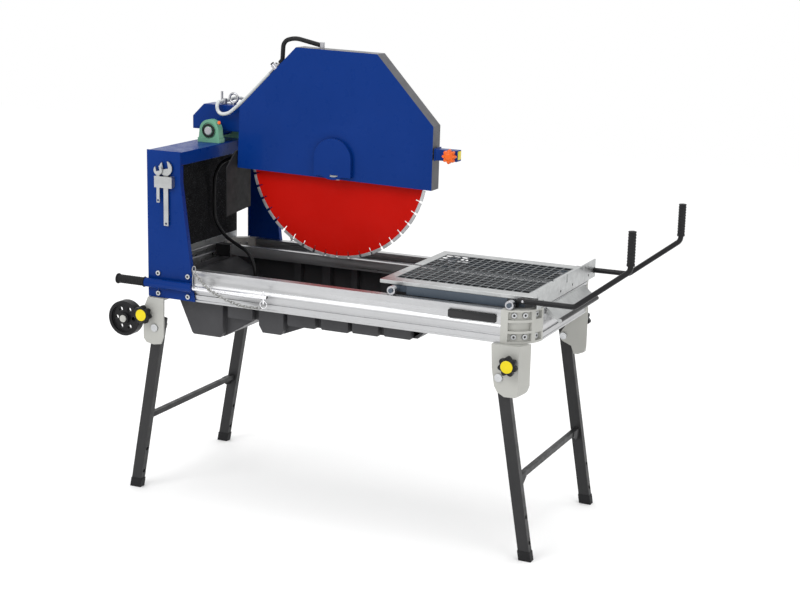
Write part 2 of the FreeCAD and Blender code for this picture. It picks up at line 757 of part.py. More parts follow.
def frameRoom(gap):
    """Rounded space inside the frame, kept clear of its walls by a gap."""
    room = []
    inner = cornerRadius - cornerThickness - gap
    low = trayRimZ - 300
    for x in (sideRailRearX, sideRailFrontX):
        for y in (-endRailHalfY, endRailHalfY):
            room.append(rodZ(x, y, inner, low, railTopZ))
    halfWide = frameHalfWidth - max(railThickness, cornerThickness) - gap
    rearX = frameRearX + max(railThickness, cornerThickness) + gap
    frontX = frameFrontX - max(railThickness, cornerThickness) - gap
    room.append(box(sideRailRearX, sideRailFrontX, -halfWide, halfWide, low, railTopZ))
    room.append(box(rearX, frontX, -endRailHalfY, endRailHalfY, low, railTopZ))
    return joined(room)


drainY = -60.0
drainRadius = 14.0


def makeTray():
    outer = joined([trayCore(0)] + [trayCell(*cell, 0) for cell in trayCells])
    inner = joined([trayCore(trayWall)] + [trayCell(*cell, trayWall) for cell in trayCells])
    rimHalfY = trayHalfWidth + 6
    rim = box(trayRearX, trayFrontX, -rimHalfY, rimHalfY, trayRimZ - 22, trayRimZ)
    inside = box(trayRearX + trayWall, trayFrontX - trayWall, -rimHalfY + 10, rimHalfY - 10,
                 trayRimZ - 19, trayRimZ + 1)
    tray = joined([outer, rim]).cut(inside).cut(inner).common(frameRoom(trayGap))
    drainX = trayRearX + 137
    drainZ = trayRimZ - 174
    tray = joined([tray, rodX(drainY, drainZ, drainRadius + 3, drainX - 22, drainX + 4)])
    tray = tray.cut(rodX(drainY, drainZ, drainRadius + 0.2, drainX - 36, drainX + 24))
    nodes["water_tray"] = tray
    nodes["drain_plug"] = joined([rodX(drainY, drainZ, drainRadius, drainX - 28, drainX + 20),
                                  rodX(drainY, drainZ, drainRadius + 5, drainX - 34, drainX - 23)])


guideBracketDepth = 14.0
guideRearBracketDepth = 64.0


def makeGuideRail():
    half = guideBarThickness / 2
    rearFace = frameRearX + railThickness
    frontFace = frameFrontX - railThickness
    low = railTopZ - guideBarHeight
    barRearX = rearFace + guideRearBracketDepth
    barFrontX = frontFace - guideBracketDepth
    bar = box(barRearX, barFrontX, guideBarY - half, guideBarY + half, low, railTopZ)
    hollow = half - guideBarWall
    bar = bar.cut(box(rearFace, frontFace, guideBarY - hollow, guideBarY + hollow, low + guideBarWall,
                      railTopZ - guideBarWall - 1))
    brackets = []
    for x0, x1 in ((rearFace, barRearX), (barFrontX, frontFace)):
        brackets.append(box(x0, x1, guideBarY - half - 7, guideBarY + half + 7, low - 6, railTopZ - 1))
    nodes["guide_rail"] = bar
    nodes["guide_brackets"] = grouped(brackets)


pumpX = trayRearX + 205
pumpY = 40.0
pumpBottomZ = trayRimZ - 188
pumpTopZ = pumpBottomZ + 118


def makePump():
    shoulderZ = pumpBottomZ + 78
    neckZ = shoulderZ + 26
    body = joined([rodZ(pumpX, pumpY, 42, pumpBottomZ, shoulderZ), rodZ(pumpX, pumpY, 34, shoulderZ, neckZ),
                   rodX(pumpY, pumpBottomZ + 38, 14, pumpX - 48, pumpX)])
    spout = rodZ(pumpX, pumpY + 18, 9, neckZ, pumpTopZ)
    nodes["water_pump"] = joined([body, spout])


# ---------- blade and its drive ----------

def bladeCore():
    core = rodY(0, spindleZ, bladeRadius - segmentDepth, -bladeCoreThickness / 2, bladeCoreThickness / 2)
    core = core.cut(rodY(0, spindleZ, spindleRadius + 0.1, -5, 5))
    slots = []
    for i in range(segmentCount):
        angle = 2 * math.pi * (i + 0.5) / segmentCount
        slot = box(bladeRadius - segmentDepth - 14, bladeRadius, -3, 3, -2, 2)
        slot.translate(V(0, 0, spindleZ))
        slot.rotate(V(0, 0, spindleZ), V(0, -1, 0), math.degrees(angle))
        slots.append(slot)
    return core.cut(slots)


def bladeSegments():
    ring = ringY(0, spindleZ, bladeRadius, bladeRadius - segmentDepth, -segmentThickness / 2,
                 segmentThickness / 2)
    gaps = []
    for i in range(segmentCount):
        angle = 2 * math.pi * (i + 0.5) / segmentCount
        gap = box(bladeRadius - 30, bladeRadius + 10, -5, 5, -segmentGap / 2, segmentGap / 2)
        gap.translate(V(0, 0, spindleZ))
        gap.rotate(V(0, 0, spindleZ), V(0, -1, 0), math.degrees(angle))
        gaps.append(gap)
    return ring.cut(gaps)


bearingNearY = (armNearY + armSheet, armNearY + armSheet + 16)
pulleyY = (armNearY + 28, armNearY + 28 + beltWidth + 4)
bearingFarY = (armFarY - 18, armFarY + 4)


def groovedPulley(x, z, radius, bore):
    wheel = ringY(x, z, radius, bore, *pulleyY)
    lip = 2.0
    nearRim = ringY(x, z, radius + 4, bore, pulleyY[0], pulleyY[0] + lip)
    farRim = ringY(x, z, radius + 4, bore, pulleyY[1] - lip, pulleyY[1])
    return joined([wheel, nearRim, farRim])


def makeSpindle():
    halfCore = bladeCoreThickness / 2
    nutFaceY = -halfCore - flangeThickness
    shaft = rodY(0, spindleZ, spindleRadius, nutFaceY - 19, bearingFarY[1] + 2)
    innerFlange = ringY(0, spindleZ, flangeRadius, spindleRadius, halfCore, halfCore + flangeThickness - 1)
    outerFlange = ringY(0, spindleZ, flangeRadius, spindleRadius, nutFaceY, -halfCore)
    nutPoints = []
    for i in range(6):
        angle = math.radians(60 * i)
        nutPoints.append((30 * math.cos(angle), spindleZ + 30 * math.sin(angle)))
    nut = plateY(nutPoints, nutFaceY - 16, nutFaceY)
    nut = nut.cut(rodY(0, spindleZ, spindleRadius, -60, 0))
    nodes["blade_core"] = bladeCore()
    nodes["blade_segments"] = bladeSegments()
    nodes["spindle_shaft"] = shaft
    nodes["blade_clamp"] = grouped([innerFlange, outerFlange, nut])
    nodes["blade_pulley"] = groovedPulley(0, spindleZ, bladePulleyRadius, spindleRadius)
    rotor = rodY(motorX, motorZ, motorShaftRadius, pulleyY[0] - 4, armFarY + 40)
    nodes["motor_shaft"] = rotor
    nodes["motor_pulley"] = groovedPulley(motorX, motorZ, motorPulleyRadius, motorShaftRadius)


def beltLoop(extra):
    """Outline of the belt run at a distance from the pulley faces, as a solid plate."""
    r1 = bladePulleyRadius + extra
    r2 = motorPulleyRadius + extra
    span = math.hypot(motorX, motorOverSpindle)
    along = math.atan2(motorOverSpindle, motorX)
    lean = math.acos((r1 - r2) / span)
    inset = (pulleyY[1] - pulleyY[0] - beltWidth) / 2
    y0 = pulleyY[0] + inset
    y1 = pulleyY[1] - inset
    ends = []
    for sign in (1, -1):
        angle = along + sign * lean
        ends.append(((r1 * math.cos(angle), spindleZ + r1 * math.sin(angle)),
                     (motorX + r2 * math.cos(angle), motorZ + r2 * math.sin(angle))))
    band = plateY([ends[0][0], ends[0][1], ends[1][1], ends[1][0]], y0, y1)
    return joined([band, rodY(0, spindleZ, r1, y0, y1), rodY(motorX, motorZ, r2, y0, y1)])


# ---------- arm, motor and guard ----------

armFrontX = 72.0
armBelowSpindle = 78.0
armOverPivot = 88.0
armTopZ = pivotZ + armOverPivot


def armOutline():
    rearX = pivotX - 107
    return [(rearX, pivotZ - 5), (rearX, pivotZ + 42), (pivotX - 60, armTopZ), (pivotX + 165, armTopZ),
            (motorX - 80, motorZ + 82), (motorX + 70, motorZ + 82), (armFrontX, spindleZ + 60),
            (armFrontX, spindleZ - 45), (34, spindleZ - armBelowSpindle), (-46, spindleZ - armBelowSpindle),
            (-150, spindleZ + 10), (pivotX + 105, pivotZ - 5)]


def insetOutline():
    """The arm's outline moved inwards by about its sheet."""
    s = armSheet
    rearX = pivotX - 107 + s
    lowZ = spindleZ - armBelowSpindle + s
    return [(rearX, pivotZ - 5 + s), (rearX, pivotZ + 40), (pivotX - 58, armTopZ - s),
            (pivotX + 168, armTopZ - s),
            (motorX - 76, motorZ + 82 - s), (motorX + 67, motorZ + 82 - s), (armFrontX - s, spindleZ + 57),
            (armFrontX - s, spindleZ - 42), (32, lowZ), (-43, lowZ), (-148, spindleZ + 10 + s),
            (pivotX + 106, pivotZ - 5 + s)]


bearingRadius = spindleRadius + 12
bearingBossRadius = bearingRadius + 12


def makeArm():
    body = plateY(armOutline(), armNearY, armFarY)
    room = plateY(insetOutline(), armNearY - 1, armFarY - armSheet)
    arm = body.cut(room)
    pivotBoss = rodY(pivotX, pivotZ, 27, armNearY + armSheet, armFarY - armSheet + 0.5)
    farBearing = rodY(0, spindleZ, bearingBossRadius, bearingFarY[0], armFarY)
    arm = joined([arm, pivotBoss, farBearing])
    arm = arm.cut(rodY(pivotX, pivotZ, pivotShaftRadius, armNearY - 5, armFarY + 5))
    arm = arm.cut(rodY(0, spindleZ, bearingRadius, bearingFarY[0] - 1, armFarY + 1))
    arm = arm.cut(rodY(motorX, motorZ, motorShaftRadius + 2, armFarY - 20, armFarY + 1))
    nodes["arm_body"] = arm
    cover = plateY(insetOutline(), armNearY, armNearY + armSheet)
    nearBoss = rodY(0, spindleZ, bearingBossRadius, *bearingNearY)
    cover = joined([cover, nearBoss])
    cover = cover.cut(rodY(pivotX, pivotZ, pivotShaftRadius, armNearY - 5, armNearY + 20))
    cover = cover.cut(rodY(0, spindleZ, bearingRadius, armNearY + 2, bearingNearY[1] + 1))
    cover = cover.cut(rodY(0, spindleZ, spindleRadius + 2, armNearY - 5, armNearY + 20))
    nodes["arm_cover"] = cover
    bearings = []
    for y0, y1 in ((armNearY + 3, bearingNearY[1]), (bearingFarY[0], armFarY)):
        bearings.append(ringY(0, spindleZ, bearingRadius, spindleRadius + runningFit, y0, y1))
    nodes["spindle_bearings"] = grouped(bearings)
    nodes["pivot_shaft"] = rodY(pivotX, pivotZ, pivotShaftRadius, blockNear[0] - 4, blockFar[1] + 4)
    nodes["drive_belt"] = beltLoop(slideGap + beltThickness).cut(beltLoop(slideGap))


def makeMotor():
    flangeY = armFarY + 12
    endY = flangeY + motorLength
    flange = rodY(motorX, motorZ, motorRadius + 10, armFarY, flangeY)
    body = rodY(motorX, motorZ, motorRadius - 8, flangeY, endY)
    fins = []
    for i in range(32):
        angle = 360 * i / 32
        fin = box(motorX + motorRadius - 14, motorX + motorRadius, flangeY, endY - 6, motorZ - 1.8,
                  motorZ + 1.8)
        fins.append(turnedY(fin, motorX, motorZ, angle))
    terminalBox = box(motorX + motorRadius - 16, motorX + motorRadius + 42, flangeY + 50, flangeY + 150,
                      motorZ - 50, motorZ + 50)
    motor = joined([flange, body, terminalBox] + fins)
    motor = motor.cut(rodY(motorX, motorZ, motorShaftRadius + runningFit, armFarY - 1, armFarY + 41))
    nodes["motor_body"] = motor
    cowl = rodY(motorX, motorZ, motorRadius + 4, endY - 4, endY + 46)
    cowl = cowl.cut(rodY(motorX, motorZ, motorRadius + 1, endY - 5, endY + 43))
    openings = []
    for ringRadius, count in ((22, 6), (42, 12), (62, 18)):
        for i in range(count):
            angle = 2 * math.pi * i / count
            openings.append(rodY(motorX + ringRadius * math.cos(angle),
                                 motorZ + ringRadius * math.sin(angle),
                                 6, endY + 40, endY + 50))
    nodes["motor_cowl"] = cowl.cut(openings)


def guardOutline(inset):
    """Outline of the guard in its own upright pose: skirt, side walls, slopes and top."""
    side = bladeRadius + guardSideClearance - inset
    top = bladeRadius + guardTopClearance - inset
    shoulder = 0.472 * bladeRadius - 0.41 * inset
    topHalf = 0.453 * bladeRadius - 0.41 * inset
    skirt = guardSkirt if inset == 0 else guardSkirt + 200
    return [(-side - 2, spindleZ - skirt), (-side + 2, spindleZ + shoulder), (-topHalf, spindleZ + top),
            (topHalf, spindleZ + top), (side - 2, spindleZ + shoulder), (side + 2, spindleZ - skirt)]


def makeGuard():
    shell = plateY(guardOutline(0), guardNearY, guardFarY)
    room = plateY(guardOutline(guardSheet), guardNearY + guardSheet, guardFarY - guardSheet)
    shell = shell.cut(room)
    shell = turnedY(shell, 0, spindleZ, -guardTilt)
    shell = shell.cut(rodY(0, spindleZ, 40, guardFarY - guardSheet - 1, guardFarY + 1))
    shell = shell.cut(rodY(0, spindleZ, 50, guardNearY - 1, guardNearY + guardSheet + 1))
    nodes["blade_guard"] = shell
    makeHubCover()
    flapX = -(bladeRadius + guardSideClearance) - 9
    highZ = spindleZ + 13
    wideZ = spindleZ - 41
    flap = plateX([(guardNearY, highZ), (guardFarY, highZ), (guardFarY, wideZ), (guardFarY + 47, wideZ - 20),
                   (guardFarY + 47, spindleZ - 205), (guardNearY - 63, spindleZ - 219),
                   (guardNearY - 63, wideZ)], flapX - 5, flapX)
    nodes["guard_flap"] = flap


hubCoverDepth = 18.0


def makeHubCover():
    """Arched cover over the blade's nut, open at the bottom, on the guard's near face."""
    arch = flangeRadius + 8
    x = 7.0
    z = spindleZ + 16
    y0 = guardNearY - hubCoverDepth
    low = spindleZ - 46

    def hood(size, start, bottom):
        return joined([rodY(x, z, size, start, guardNearY), box(x - size, x + size, start, guardNearY,
                                                                bottom, z)])
    cover = hood(arch, y0, low).cut(hood(arch - guardSheet, y0 + guardSheet, low - 20))
    nodes["hub_cover"] = cover.cut(box(x - 8, x + 22, y0 - 1, guardNearY + 1, low - 1, low + 6))


def makeGuardBracket():
    x0 = bladeRadius + guardSideClearance + 6
    x1 = x0 + 84
    y0 = guardNearY + 4
    y1 = y0 + 38
    z0 = spindleZ + 42
    z1 = z0 + 38
    tube = box(x0, x1, y0, y1, z0, z1)
    foot = box(x0, x0 + 5, y0 - 2, y1 + 12, z0 - 3, z1 + 3)
    nodes["guard_bracket"] = joined([tube, foot])
    knobX = x0 + 62
    knobY = y0 - 6
    knobZ0 = (z0 + z1) / 2
    shapes = [rodY(knobX, knobZ0, 20, knobY - 20, knobY)]
    for i in range(6):
        angle = 2 * math.pi * i / 6
        shapes.append(rodY(knobX + 19 * math.cos(angle), knobZ0 + 19 * math.sin(angle), 6.5, knobY - 20,
                           knobY))
    shapes.append(rodY(knobX, knobZ0, 9, knobY, y0 - slideGap))
    nodes["clamp_knob"] = joined(shapes)


inletRadius = 18.0


def makeSwitch():
    x0 = armFrontX + 1
    x1 = x0 + 72
    y0 = guardFarY + 8
    y1 = y0 + 78
    z0 = spindleZ + 5
    z1 = z0 + 120
    case = box(x0, x1, y0, y1, z0, z1)
    mid = (y0 + y1) / 2
    inletX = x0 + 34
    inletZ = z0 + 60
    inlet = rodY(inletX, inletZ, inletRadius + 5, y1, y1 + 42)
    inlet = inlet.cut(rodY(inletX, inletZ, inletRadius, y1 + 14, y1 + 43))
    print("inlet", inletX, y1 + 28, inletZ)
    case = joined([case, inlet])
    for z in (z0 + 36, z0 + 84):
        case = case.cut(rodX(mid, z, 14.5, x1 - 12, x1 + 1))
    nodes["switch_box"] = case
    nodes["stop_button"] = rodX(mid, z0 + 36, 14, x1 - 7, x1 + 9)
    nodes["start_button"] = rodX(mid, z0 + 84, 14, x1 - 7, x1 + 5)


# ---------- table ----------

axleZ = railTopZ + rollerRadius + rollingGap
railRollerY = frameHalfWidth - railThickness + rollerWidth / 2 + railEdgeGap


def makeTable():
    outer = box(tableRearX, tableFrontX - 2, -tableHalfWidth, tableHalfWidth, tableBottomZ, tableTopZ)
    under = box(tableRearX + tableSheet, tableFrontX - 2 - tableSheet, -tableHalfWidth + tableSheet,
                tableHalfWidth - tableSheet, tableBottomZ - 1, tableTopZ - tableSheet)
    meshX0 = tableRearX + tableRearBorder
    meshX1 = tableFrontX - tableFrontBorder
    meshY = tableHalfWidth - tableSideBorder
    opening = box(meshX0, meshX1, -meshY, meshY, tableBottomZ - 1, tableTopZ + 1)
    slot = box(tableRearX - 1, bladeSlotEndX, -bladeSlotHalfWidth, bladeSlotHalfWidth, tableBottomZ - 1,
               tableTopZ + 1)
    frame = outer.cut(under).cut(opening).cut(slot)
    sideTubes = []
    for side in (near, far):
        y0 = side * (tableHalfWidth - 16)
        y1 = side * (tableHalfWidth + 4)
        tube = box(rollerRearX + 38, rollerFrontX - 22, y0, y1, tableBottomZ - 29, tableBottomZ)
        tubeRoom = box(rollerRearX + 30, rollerFrontX - 14, y0 + side * 2.5, y1 - side * 2.5,
                       tableBottomZ - 26.5, tableBottomZ - 2.5)
        sideTubes.append(tube.cut(tubeRoom))
    nodes["table_frame"] = frame
    nodes["table_side_tubes"] = grouped(sideTubes)
    nodes["table_mesh"] = grouped([meshPanel(side, meshX0, meshX1, meshY) for side in (near, far)])
    makeFence()


def meshPanel(side, x0, x1, halfY):
    """Welded mesh between the blade slot and the table's edge."""
    innerY = bladeSlotHalfWidth + 1
    z0 = tableTopZ - meshBarHeight
    panel = box(x0, x1, side * innerY, side * halfY, z0, tableTopZ)
    columns = int((x1 - x0 - meshBarWidth) // meshPitch)
    rows = int((halfY - innerY - meshBarWidth) // meshPitch)
    stepX = (x1 - x0 - meshBarWidth) / columns
    stepY = (halfY - innerY - meshBarWidth) / rows
    holes = []
    for i in range(columns):
        for j in range(rows):
            x = x0 + meshBarWidth + i * stepX
            y = innerY + meshBarWidth + j * stepY
            holes.append(box(x, x + stepX - meshBarWidth, side * y, side * (y + stepY - meshBarWidth),
                             z0 - 1,
                             tableTopZ + 1))
    return panel.cut(holes)


def makeFence():
    """Upright plate at the operator's end, with holes for a cutting stop."""
    x1 = tableFrontX + fenceThickness
    fence = box(tableFrontX, x1, -tableHalfWidth - 4, tableHalfWidth + fenceOverhang, railTopZ + 3,
                fenceTopZ)
    fence = fence.cut(rodX(handleY, handleBendZ - 0.5, handleRodRadius + 2, tableFrontX - 1, x1 + 1))
    notch = bladeSlotHalfWidth - 3
    fence = fence.cut(box(tableFrontX - 1, x1 + 1, -notch, notch, tableTopZ - 2, fenceTopZ + 1))
    for y in fenceHolesY:
        fence = fence.cut(rodX(y, tableTopZ - fenceHoleDrop, M10Radius, tableFrontX - 1, x1 + 1))
    nodes["table_fence"] = fence


def makeRollers():
    """Plain rollers on the near rail and grooved ones on the guide bar share each axle line."""
    nearY = guideBarY - guideBarThickness / 2 - slideGap
    farY = guideBarY + guideBarThickness / 2 + slideGap
    wall = rollerGrooveWall
    bore = rollerAxleRadius + runningFit
    for name, x in (("rear", rollerRearX), ("front", rollerFrontX)):
        plain = ringY(x, axleZ, rollerRadius, bore, -railRollerY - rollerWidth / 2,
                      -railRollerY + rollerWidth / 2)
        grooved = joined([ringY(x, axleZ, rollerRadius, bore, nearY - wall, farY + wall),
                          ringY(x, axleZ, rollerRadius + 4, bore, nearY - wall, nearY),
                          ringY(x, axleZ, rollerRadius + 4, bore, farY, farY + wall)])
        nodes["rollers_" + name] = grouped([plain, grooved])
    brackets = []
    outerY = -railRollerY - rollerWidth / 2
    plateFaceY = -tableHalfWidth + 4
    for x in (rollerRearX, rollerFrontX):
        nearPlate = box(x - 20, x + 34, plateFaceY, plateFaceY + 4, axleZ - 12, tableBottomZ)
        nearBolt = joined([rodY(x, axleZ, rollerAxleRadius, outerY - 1, plateFaceY),
                           rodY(x, axleZ, 8, outerY - 5, outerY - 1),
                           rodY(x, axleZ, 9, -railRollerY + rollerWidth / 2 + 1, plateFaceY)])
        brackets.append(joined([nearPlate, nearBolt]))
        y0 = farY + wall + 2
        upper = min(tableTopZ - meshBarHeight - 0.5, axleZ + 14)
        farPlate = box(x - 24, x + 24, y0, y0 + 5, axleZ - 12, upper)
        reach = box(x - 24, x + 24, y0, tableHalfWidth - tableSideBorder + 20, upper - 4, upper)
        farBolt = joined([rodY(x, axleZ, rollerAxleRadius, nearY - wall - 1, y0),
                          rodY(x, axleZ, 8, nearY - wall - 5, nearY - wall - 1)])
        brackets.append(joined([farPlate, reach, farBolt]))
    nodes["roller_brackets"] = grouped(brackets)


def tableHandle():
    y = -handleY
    points = [V(rollerFrontX + 18, y, handleBendZ - 1), V(handleBendX, y, handleBendZ),
              V(handleReachX, y, handleGripZ), V(handleReachX, y, handleTopZ - 10)]
    bar = bentTube(points, handleRodRadius, 26)
    plate = box(rollerFrontX + rollerRadius + 4, tableFrontX - 4, y + handleRodRadius - 1, -tableHalfWidth,
                handleBendZ - 11, handleBendZ + 8)
    flat = box(rollerFrontX - 20, rollerFrontX + rollerRadius + 6, y + handleRodRadius - 1,
               y + handleRodRadius + 3, axleZ - 13, tableBottomZ - 1)
    flat = flat.cut(rodY(rollerFrontX, axleZ, 9.5, y, -tableHalfWidth))
    grip = rodZ(handleReachX, y, handleGripRadius, handleGripZ + 16, handleTopZ - 6)
    grip = joined([grip, Part.makeSphere(handleGripRadius, V(handleReachX, y,
                                                             handleTopZ - handleGripRadius))])
    bar = bar.cut(grip)
    return joined([bar, plate, flat]), grip


def makeHandles():
    bar, grip = tableHandle()
    nodes["table_handles"] = grouped([bar, acrossY(bar)])
    nodes["handle_grips"] = grouped([grip, acrossY(grip)])


# ---------- small fittings ----------

lipDropX = 45.0
lipDropZ = 40.0
lipEdgeRadius = 7.0


def makeLip():
    x0 = frameFrontX
    z0 = railTopZ - 6
    x1 = x0 + lipDropX
    z1 = z0 - lipDropZ
    sheet = plateY([(x0, z0), (x1, z1), (x1, z1 - 2.5), (x0 + 2.5, z0 - 5), (x0 + 2.5, z0 - 26),
                    (x0, z0 - 26)],
                   -lipHalfWidth, lipHalfWidth)
    gusset = plateY([(x0 + 2, z0 - 4), (x1, z1 - 2), (x0 + 2, z0 - 26)], -lipHalfWidth, -lipHalfWidth + 2.5)
    edging = rodY(x1 + 3, z1 - 1, lipEdgeRadius, -lipHalfWidth, lipHalfWidth)
    sheet = joined([sheet, gusset, acrossY(gusset)])
    nodes["splash_lip"] = sheet.cut(edging)
    nodes["lip_edging"] = edging


def makePlate():
    y = -frameHalfWidth
    nodes["data_plate"] = box(frameFrontX - 294, frameFrontX - 124, y - 1.2, y, railTopZ - 47,
                              railTopZ - 19)


holderX = frameRearX + 110
holderZ = postTopZ - 106


def spanner(x, z, jaw, length, y):
    """Open-ended spanner hanging down from its jaw."""
    head = rodY(x, z, jaw, y - 3, y + 3)
    mouth = turnedY(box(x - jaw * 0.42, x + jaw * 0.42, y - 5, y + 5, z - 2, z + 2 * jaw), x, z, 12)
    shank = box(x - jaw * 0.36, x + jaw * 0.36, y - 2.5, y + 2.5, z - length, z)
    hole = rodY(x, z - length + 8, 4, y - 5, y + 5)
    return joined([head, shank]).cut(mouth).cut(hole)


def makeTools():
    y = -postFaceY
    pocket = box(holderX - 36, holderX + 36, y - 20, y, holderZ - 22, holderZ + 18)
    room = box(holderX - 33, holderX + 33, y - 17, y - 3, holderZ - 40, holderZ + 30)
    nodes["spanner_holder"] = pocket.cut(room)
    big = spanner(holderX + 5, holderZ + 46, 26, 204, y - 7)
    small = spanner(holderX - 23, holderZ + 38, 17, 114, y - 13.5)
    nodes["spanners"] = grouped([big, small])


def guardPoint(low, high, fraction, lift):
    """Point on the guard's edge between two corners, lifted off its face, with the edge's directions."""
    corners = [turnedPoint(x, z) for x, z in guardOutline(0)]
    first = corners[low]
    second = corners[high]
    along = (second - first).normalize()
    out = V(-along.z, 0, along.x)
    point = first + (second - first) * fraction + out * lift
    return V(point.x, hoseY, point.z), along, out


def turnedPoint(x, z):
    """A point of the upright guard after the guard is tilted with its arm."""
    angle = math.radians(guardTilt)
    dx = x
    dz = z - spindleZ
    return V(dx * math.cos(angle) + dz * math.sin(angle), 0,
             spindleZ + dz * math.cos(angle) - dx * math.sin(angle))


hoseRadius = 6.5
feedHoseRadius = 8.0
hoseY = -10.0
valveLift = 14.0


def makeValve():
    """Water tap on the rear slope of the guard, with a spout for the feed hose."""
    base, along, out = guardPoint(1, 2, 0.6, 0.2)
    print("valve", base, out)
    body = Part.makeCylinder(10, 28, base, out)
    barb = Part.makeCylinder(5, 30, base + out * valveLift - along * 30, along)
    body = joined([body, barb]).cut(rod(base + out * 18, base + out * 30, 4))
    stem = Part.makeCylinder(3.95, 10, base + out * 18.2, out)
    cap = Part.makeCylinder(7, 6, base + out * 28.2, out)
    grip = rod(base + out * 31.2 + V(0, 3, 0), base + out * 31.2 + V(0, 32, 0), 2.6)
    nodes["valve_lever"] = joined([stem, cap, grip])
    spoutEnd = base + out * valveLift + along * 26
    spout = rod(base + out * valveLift, spoutEnd, 5)
    body = joined([body, spout.cut(rod(base + out * 18, base + out * 30, 4))])
    inlet, alongTop, outTop = guardPoint(2, 3, 0.27, 0.2)
    inletFitting = rod(inlet, inlet + outTop * 21, 9)
    hoseEnd = inlet + outTop * 11 - alongTop * 9.3
    route = [spoutEnd, spoutEnd + along * 14, hoseEnd + V(-145, 0, 7), hoseEnd + V(-98, 0, 20), hoseEnd]
    nodes["feed_hose"] = hoseTube(route, feedHoseRadius)
    return [body, inletFitting], base + out * valveLift - along * 30, along


def makeHoses():
    valve, barbEnd, along = makeValve()
    fittingY = armNearY + 36
    fittingX = pivotX + 8
    elbowZ = armTopZ + 12
    rearFitting = rodZ(fittingX, fittingY, 9, armTopZ + 0.2, elbowZ + 9)
    pin = rodZ(fittingX - 14, fittingY + 4, 4.5, armTopZ + 0.2, armTopZ + 46)
    eye = Part.makeTorus(17, 4.5, V(pivotX + 44, fittingY + 4, armTopZ + 24), V(0, 1, 0))
    eyeFoot = rodZ(pivotX + 44, fittingY + 4, 9, armTopZ + 0.2, armTopZ + 7)
    nodes["water_valve"] = grouped(valve + [rearFitting, pin, joined([eye, eyeFoot])])
    corner = guardPoint(1, 2, 0.04, valveLift + 0.2)[0]
    start = V(fittingX, fittingY - 9.3, elbowZ)
    loop = [start, start + V(0, -50, 0), V(fittingX + 8, armNearY - 24, armTopZ - 30),
            V(fittingX + 50, armNearY - 26, armTopZ - 27), corner, barbEnd - along * 0.3]
    clear = hoseTube(loop, hoseRadius)
    clipY = armFarY + 10
    clipX = pivotX + 78
    clipZ = pivotZ - 4
    link = [V(clipX, clipY, clipZ + 0.5), V(clipX + 2, clipY, clipZ + 56),
            V(clipX - 12, clipY - 2, clipZ + 112),
            V(clipX - 40, clipY - 26, armTopZ + 24), V(fittingX, fittingY + 40, elbowZ),
            V(fittingX, fittingY + 9.3, elbowZ)]
    nodes["hose_upper"] = grouped([clear, hoseTube(link, hoseRadius)])
    curtainRunX = curtainX + 16
    low = [V(pumpX, pumpY + 18, pumpTopZ + 0.5), V(pumpX - 2, pumpY + 20, railTopZ - 58),
           V(pumpX - 36, pumpY + 34, railTopZ - 6), V(pumpX - 96, pumpY + 46, railTopZ + 16),
           V(pumpX - 152, pumpY + 52, railTopZ + 42), V(curtainRunX + 4, clipY, railTopZ + 97),
           V(curtainRunX, clipY + 2, railTopZ + 157), V(curtainRunX + 1, clipY, clipZ - 236),
           V(curtainRunX + 6, clipY, clipZ - 179), V(curtainRunX + 34, clipY, clipZ - 133),
           V(curtainRunX + 88, clipY, clipZ - 109), V(clipX - 18, clipY, clipZ - 99),
           V(clipX, clipY, clipZ - 59),
           V(clipX, clipY + 1, clipZ - 22), V(clipX, clipY, clipZ)]
    nodes["hose_lower"] = hoseTube(low, hoseRadius)


makeFrame()
makeLegs()
makePosts()
makeCurtain()
makeTray()
makeGuideRail()
makePump()
makeSpindle()
makeArm()
makeMotor()
makeGuard()
makeGuardBracket()
makeSwitch()
makeTable()
makeRollers()
makeHandles()
makeLip()
makePlate()
makeTools()
makeHoses()

bolted = ["post_near", "post_far", "side_rail_near", "side_rail_far", "end_rail_front", "end_rail_rear"]
bolted += ["corner_front_near", "corner_front_far", "corner_rear_near", "corner_rear_far"]
for name in bolted:
    nodes[name] = nodes[name].cut(boltHoles)
nodes["frame_bolts"] = grouped(bolts)

# Matching pieces that share a node, each piece still a solid of its own
sharedNodes = {
    "side_rails": ["side_rail_near", "side_rail_far"],
    "end_rails": ["end_rail_front", "end_rail_rear"],
    "corner_castings": ["corner_front_near", "corner_front_far", "corner_rear_near", "corner_rear_far"],
    "leg_housings_front": ["leg_housing_front_near", "leg_housing_front_far"],
    "leg_housings_rear": ["leg_housing_rear_near", "leg_housing_rear_far"],
    "fasteners": ["frame_bolts", "leg_pivot_bolts"],
    "guide_rail": ["guide_rail", "guide_brackets"],
    "tilt_arm": ["arm_body", "arm_cover"],
    "pillow_blocks": ["pillow_blocks", "bearing_inserts"],
    "motor_shaft": ["motor_shaft", "motor_pulley"],
    "spindle_shaft": ["spindle_shaft", "blade_pulley"],
    "motor": ["motor_body", "motor_cowl"],
    "table_runners": ["table_side_tubes", "roller_brackets"],
    "table_handles": ["table_handles", "handle_grips"],
    "water_tray": ["water_tray", "drain_plug"],
    "splash_lip": ["splash_lip", "lip_edging"],
    "spanner_holder": ["spanner_holder", "spanners"],
}
for name, members in sharedNodes.items():
    pieces = [nodes.pop(member) for member in members]
    nodes[name] = grouped(pieces)

originX = (wheelX - wheelRadius + handleReachX + handleGripRadius) / 2
os.makedirs("parts", exist_ok=True)
for name in sorted(nodes):
    shape = nodes[name].copy()
    shape.translate(V(-originX, 0, 0))
    if not shape.isValid():
        print("not valid:", name)
    shape.exportStep(os.path.join("parts", name + ".step"))
print(len(nodes), "nodes, origin at x =", originX)
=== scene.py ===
import bpy
import bmesh
import json
import math
import numpy as np
from mathutils import Matrix, Vector

